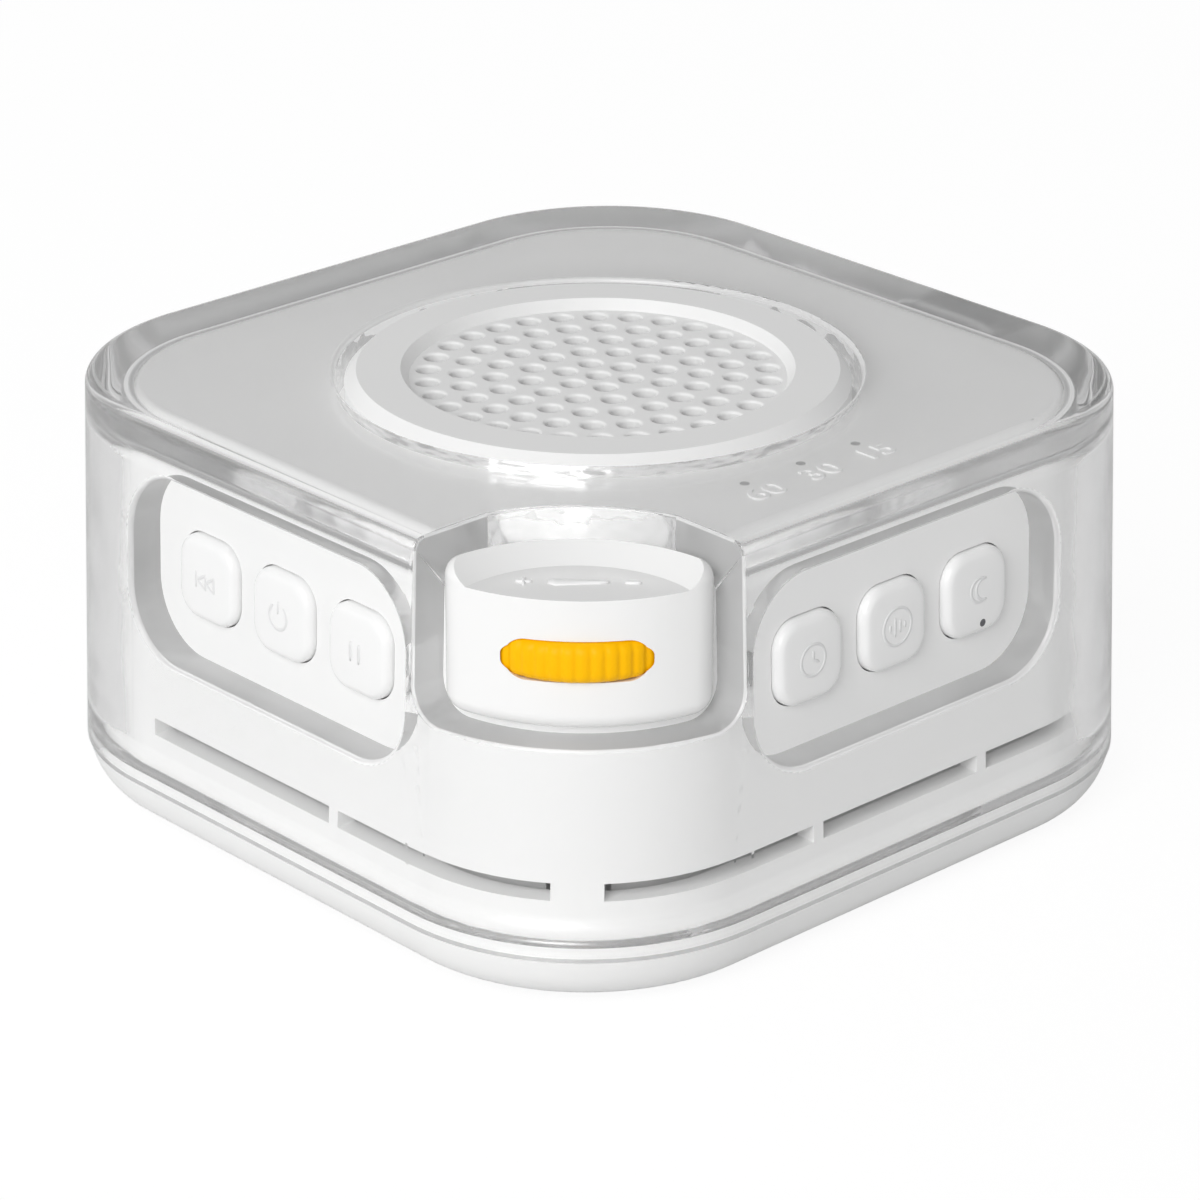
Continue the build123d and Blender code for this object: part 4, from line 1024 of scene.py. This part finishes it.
@dataclass
class TimerNumbers:
    """Minutes in raised figures on the shell's top beside the pinholes, read from the right face's side."""

    figures: tuple[tuple[str, float], ...] = (("60", -8.4), ("30", -0.9), ("15", 6.5))
    x: float = 32.4
    size: float = 3.7
    stretch: float = 1.22
    rise: float = 0.14
    bevel: float = 0.03
    sink: float = 0.02

    def shape(self, text: str) -> bpy.types.Mesh:
        """Mesh of one number, flat on the plane of its letters.

        Args:
            text: the figures.

        Returns:
            The mesh, in millimetres.
        """
        curve = bpy.data.curves.new("number", "FONT")
        curve.body, curve.size = text, self.size
        curve.align_x, curve.align_y = "CENTER", "CENTER"
        curve.extrude, curve.bevel_depth = self.rise, self.bevel
        holder = bpy.data.objects.new("number", curve)
        bpy.context.scene.collection.objects.link(holder)
        mesh = bpy.data.meshes.new_from_object(holder.evaluated_get(bpy.context.evaluated_depsgraph_get()))
        bpy.data.objects.remove(holder)
        bpy.data.curves.remove(curve)
        return mesh

    def build(self) -> None:
        """Make each number: its letters' axes turned so that they run along Y and up towards -X."""
        material = NUMBER_MARK.material()
        for text, y in self.figures:
            mesh = self.shape(text)
            flat = np.empty(len(mesh.vertices) * 3)
            mesh.vertices.foreach_get("co", flat)
            across, up, lift = flat.reshape(-1, 3).T
            z = SHELL_TOP_Z + np.maximum(lift, -self.sink)
            points = np.stack([self.x - up, y + across * self.stretch, z], -1)
            piece = link_mesh("number_" + text, points, [tuple(face.vertices) for face in mesh.polygons])
            bpy.data.meshes.remove(mesh)
            merge_doubles(piece.data, 1e-6)
            piece.data.set_sharp_from_angle(angle=math.radians(40))
            finish_piece(piece, "housing", material)


@dataclass
class Thumbwheel:
    """The fluted volume wheel: a rounded rim carried round the axis, with shallow hollows in it."""

    out: float = 40.6
    mid_z: float = 34.75
    radius: float = 10.5
    thickness: float = 4.0
    rim: float = 1.2
    flutes: int = 48
    depth: float = 0.15
    core: float = 3.0
    hub: float = 6.5
    around: int = 480

    def profile(self) -> np.ndarray:
        """Section of the wheel: a rim with quarter-round edges, and flat faces in to its hub.

        Returns:
            Rows of radius and height above the middle, from the lower inside to the upper inside.
        """
        half, rim = self.thickness / 2, self.rim
        angle = np.linspace(-math.pi / 2, 0, 9)
        low = np.stack([self.radius - rim + rim * np.cos(angle), -half + rim + rim * np.sin(angle)], -1)
        high = low[::-1] * [1, -1]
        below = [[self.core, -half], [self.hub, -half]]
        above = [[self.hub, half], [self.core, half]]
        return np.vstack([below, low, high, above])

    def build(self) -> None:
        """Make the wheel: radius falls by depth times the fourth power of |cos(n a / 2)| at the rim."""
        profile = self.profile()
        angle = np.linspace(0, 2 * math.pi, self.around, endpoint=False)
        hollow = np.abs(np.cos(angle * self.flutes / 2)) ** 4
        share = np.clip((profile[:, 0] - self.radius + self.rim) / self.rim, 0, 1)
        reach = profile[:, 0, None] - self.depth * share[:, None] * hollow[None]
        x = self.out * DIAGONAL + reach * np.cos(angle)
        y = -self.out * DIAGONAL + reach * np.sin(angle)
        z = np.broadcast_to(self.mid_z + profile[:, 1, None], reach.shape)
        points, faces = capped_rings(np.stack([x, y, z], -1))
        piece = link_mesh("wheel_orange", points, faces)
        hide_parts("volume_wheel")
        finish_piece(piece, "thumbwheel", ORANGE_WHEEL.material())


@dataclass
class InnerWorks:
    """Everything behind the shell: each CAD node takes the finish of its material slot."""

    finishes: dict[str, Finish] = field(default_factory=lambda: {
        "clear_plastic": CLEAR_COVER, "white_plastic": WHITE_PLASTIC, "button_white": WHITE_BUTTON,
        "wheel_orange": ORANGE_WHEEL, "black_plastic": BLACK_PLASTIC, "circuit_board": SOLDER_MASK,
        "zinc_screw": ZINC, "steel": NICKEL, "ferrite": FERRITE, "copper": COPPER,
        "paper_cone": PAPER_CONE, "soft_rubber": SOFT_RUBBER, "foot_rubber": FOOT_RUBBER,
        "acoustic_cloth": CLOTH_PAINTED_HOLE_SHADE, "spider_cloth": SPIDER_CLOTH, "light_pipe": LIGHT_PIPE,
        "battery_wrap": BATTERY_WRAP, "wire_sleeve": WIRE_SLEEVE, "liner_grey": LINER_PAINTED_SLOT_SHADE})

    def build(self) -> None:
        """Dress every CAD node by its slot."""
        made: dict[str, bpy.types.Material] = {}
        for part in frame["record"]["subparts"]:
            slot = part["material_slot"]
            if slot not in made:
                made[slot] = self.finishes[slot].material()
            node = frame["nodes"][part["node"]]
            node.data.materials.clear()
            node.data.materials.append(made[slot])
        LOG.info("inner works: %d nodes, %d finishes", len(frame["nodes"]), len(made))


# ---- camera, floor and light ----
@dataclass(frozen=True)
class SoftBox:
    """A soft box in metres that looks at the machine; azimuth is 0 from -Y and 90 from +X."""

    name: str
    azimuth: float
    elevation: float
    distance: float
    size: tuple[float, float]
    radiance: float
    mirrored: bool = True

    def hang(self) -> None:
        """Hang the lamp, out of mirrors and clear plastic if it isn't to show in them."""
        turn, rise = math.radians(self.azimuth), math.radians(self.elevation)
        way = Vector((math.sin(turn) * math.cos(rise), -math.cos(turn) * math.cos(rise), math.sin(rise)))
        data = bpy.data.lights.new(self.name, "AREA")
        data.shape, data.size, data.size_y = "RECTANGLE", *self.size
        data.energy = self.radiance * math.pi * self.size[0] * self.size[1]
        piece = bpy.data.objects.new(self.name, data)
        piece.location = way * self.distance
        piece.rotation_euler = (-way).to_track_quat("-Z", "Y").to_euler()
        piece.visible_transmission = piece.visible_glossy = self.mirrored
        bpy.context.scene.collection.objects.link(piece)


@dataclass
class Studio:
    """A white table, soft lamps and the camera."""

    eye: tuple[float, float, float] = (308.49, -285.36, 202.53)
    target: tuple[float, float, float] = (2.09, -1.67, 20.28)
    lens: float = 134.5
    floor_half: float = 4000.0
    floor_glow: float = 1.06
    floor_clean: float = 0.86
    floor_through: float = 0.22
    zenith_level: float = 0.38
    horizon_level: float = 0.78
    horizon_band: float = 0.45
    lamps: tuple[SoftBox, ...] = (SoftBox("key", 24, 33, 1.6, (1.0, 1.0), 5.15),
                                  SoftBox("side", 282, 22, 1.7, (0.9, 0.9), 1.8, mirrored=False))

    def camera(self) -> None:
        """Place the camera and make it the scene's own."""
        data = bpy.data.cameras.new("camera")
        data.lens, data.sensor_width = self.lens, 36.0
        data.clip_start, data.clip_end = 0.01, 50.0
        piece = bpy.data.objects.new("camera", data)
        piece.location = Vector(self.eye) * MM
        piece.rotation_euler = (Vector(self.target) - Vector(self.eye)).to_track_quat("-Z", "Y").to_euler()
        bpy.context.scene.collection.objects.link(piece)
        bpy.context.scene.camera = piece

    def floor(self) -> None:
        """Lay the plain pale table."""
        half = self.floor_half
        corners = np.array([[-half, -half, 0], [half, -half, 0], [half, half, 0], [-half, half, 0]])
        piece = link_mesh("table", corners - [0, 0, 0.02], [[0, 1, 2, 3]])
        shader = Shader(bpy.data.materials.new("table"))
        cloud = shader.cloud(300.0, 2.0)
        paper = shader.node("BsdfDiffuse", None, {
            "Color": shader.blend(cloud, (0.78, 0.78, 0.78), (0.81, 0.81, 0.81))})
        glow = shader.node("Emission", None, {"Color": (1.0, 1.0, 1.0, 1.0), "Strength": self.floor_glow})
        path = shader.node("LightPath")
        seen = (Socket(shader, path.outputs["Is Camera Ray"]) * self.floor_clean).maximum(
            Socket(shader, path.outputs["Is Transmission Ray"]) * self.floor_through)
        piece.data.materials.append(shader.surface(shader.node("MixShader", None, {
            0: seen, 1: paper.outputs[0], 2: glow.outputs[0]})))

    def light(self) -> None:
        """Hang the soft boxes, set the room's own light and let light go deep into the clear cover."""
        for lamp in self.lamps:
            lamp.hang()
        self.room()
        bpy.context.scene.view_settings.view_transform = "Standard"
        paths = bpy.context.scene.cycles
        paths.max_bounces, paths.glossy_bounces, paths.transmission_bounces = 32, 24, 32

    def room(self) -> None:
        """Set the room's own light: pale walls up to the horizon band's height and a darker ceiling."""
        shader = Shader(bpy.data.worlds.new("room"))
        way = shader.node("SeparateXYZ", None, {0: shader.node("TexCoord").outputs["Generated"]})
        level = shader.node("MapRange", {"interpolation_type": "SMOOTHSTEP"}, {
            "Value": way.outputs["Z"], "From Max": self.horizon_band, "To Min": self.horizon_level,
            "To Max": self.zenith_level})
        walls = shader.node("Background", None, {"Color": level.outputs["Result"]})
        shader.node("OutputWorld", None, {"Surface": walls.outputs[0]})
        bpy.context.scene.world = shader.owner

    def build(self) -> None:
        """Set up the whole studio."""
        self.camera()
        self.floor()
        self.light()


def main() -> None:
    """Build the studio, then the machine piece by piece."""
    logging.basicConfig(level=logging.INFO, format="%(name)s: %(message)s")
    Studio().build()
    InnerWorks().build()
    for part in (ClearCoverPiece(), WhiteHousing(), ButtonRows(), PodMarks(), TimerNumbers(), Thumbwheel()):
        part.build()
        LOG.info("built %s", type(part).__name__)


if __name__ == "__main__":
    main()
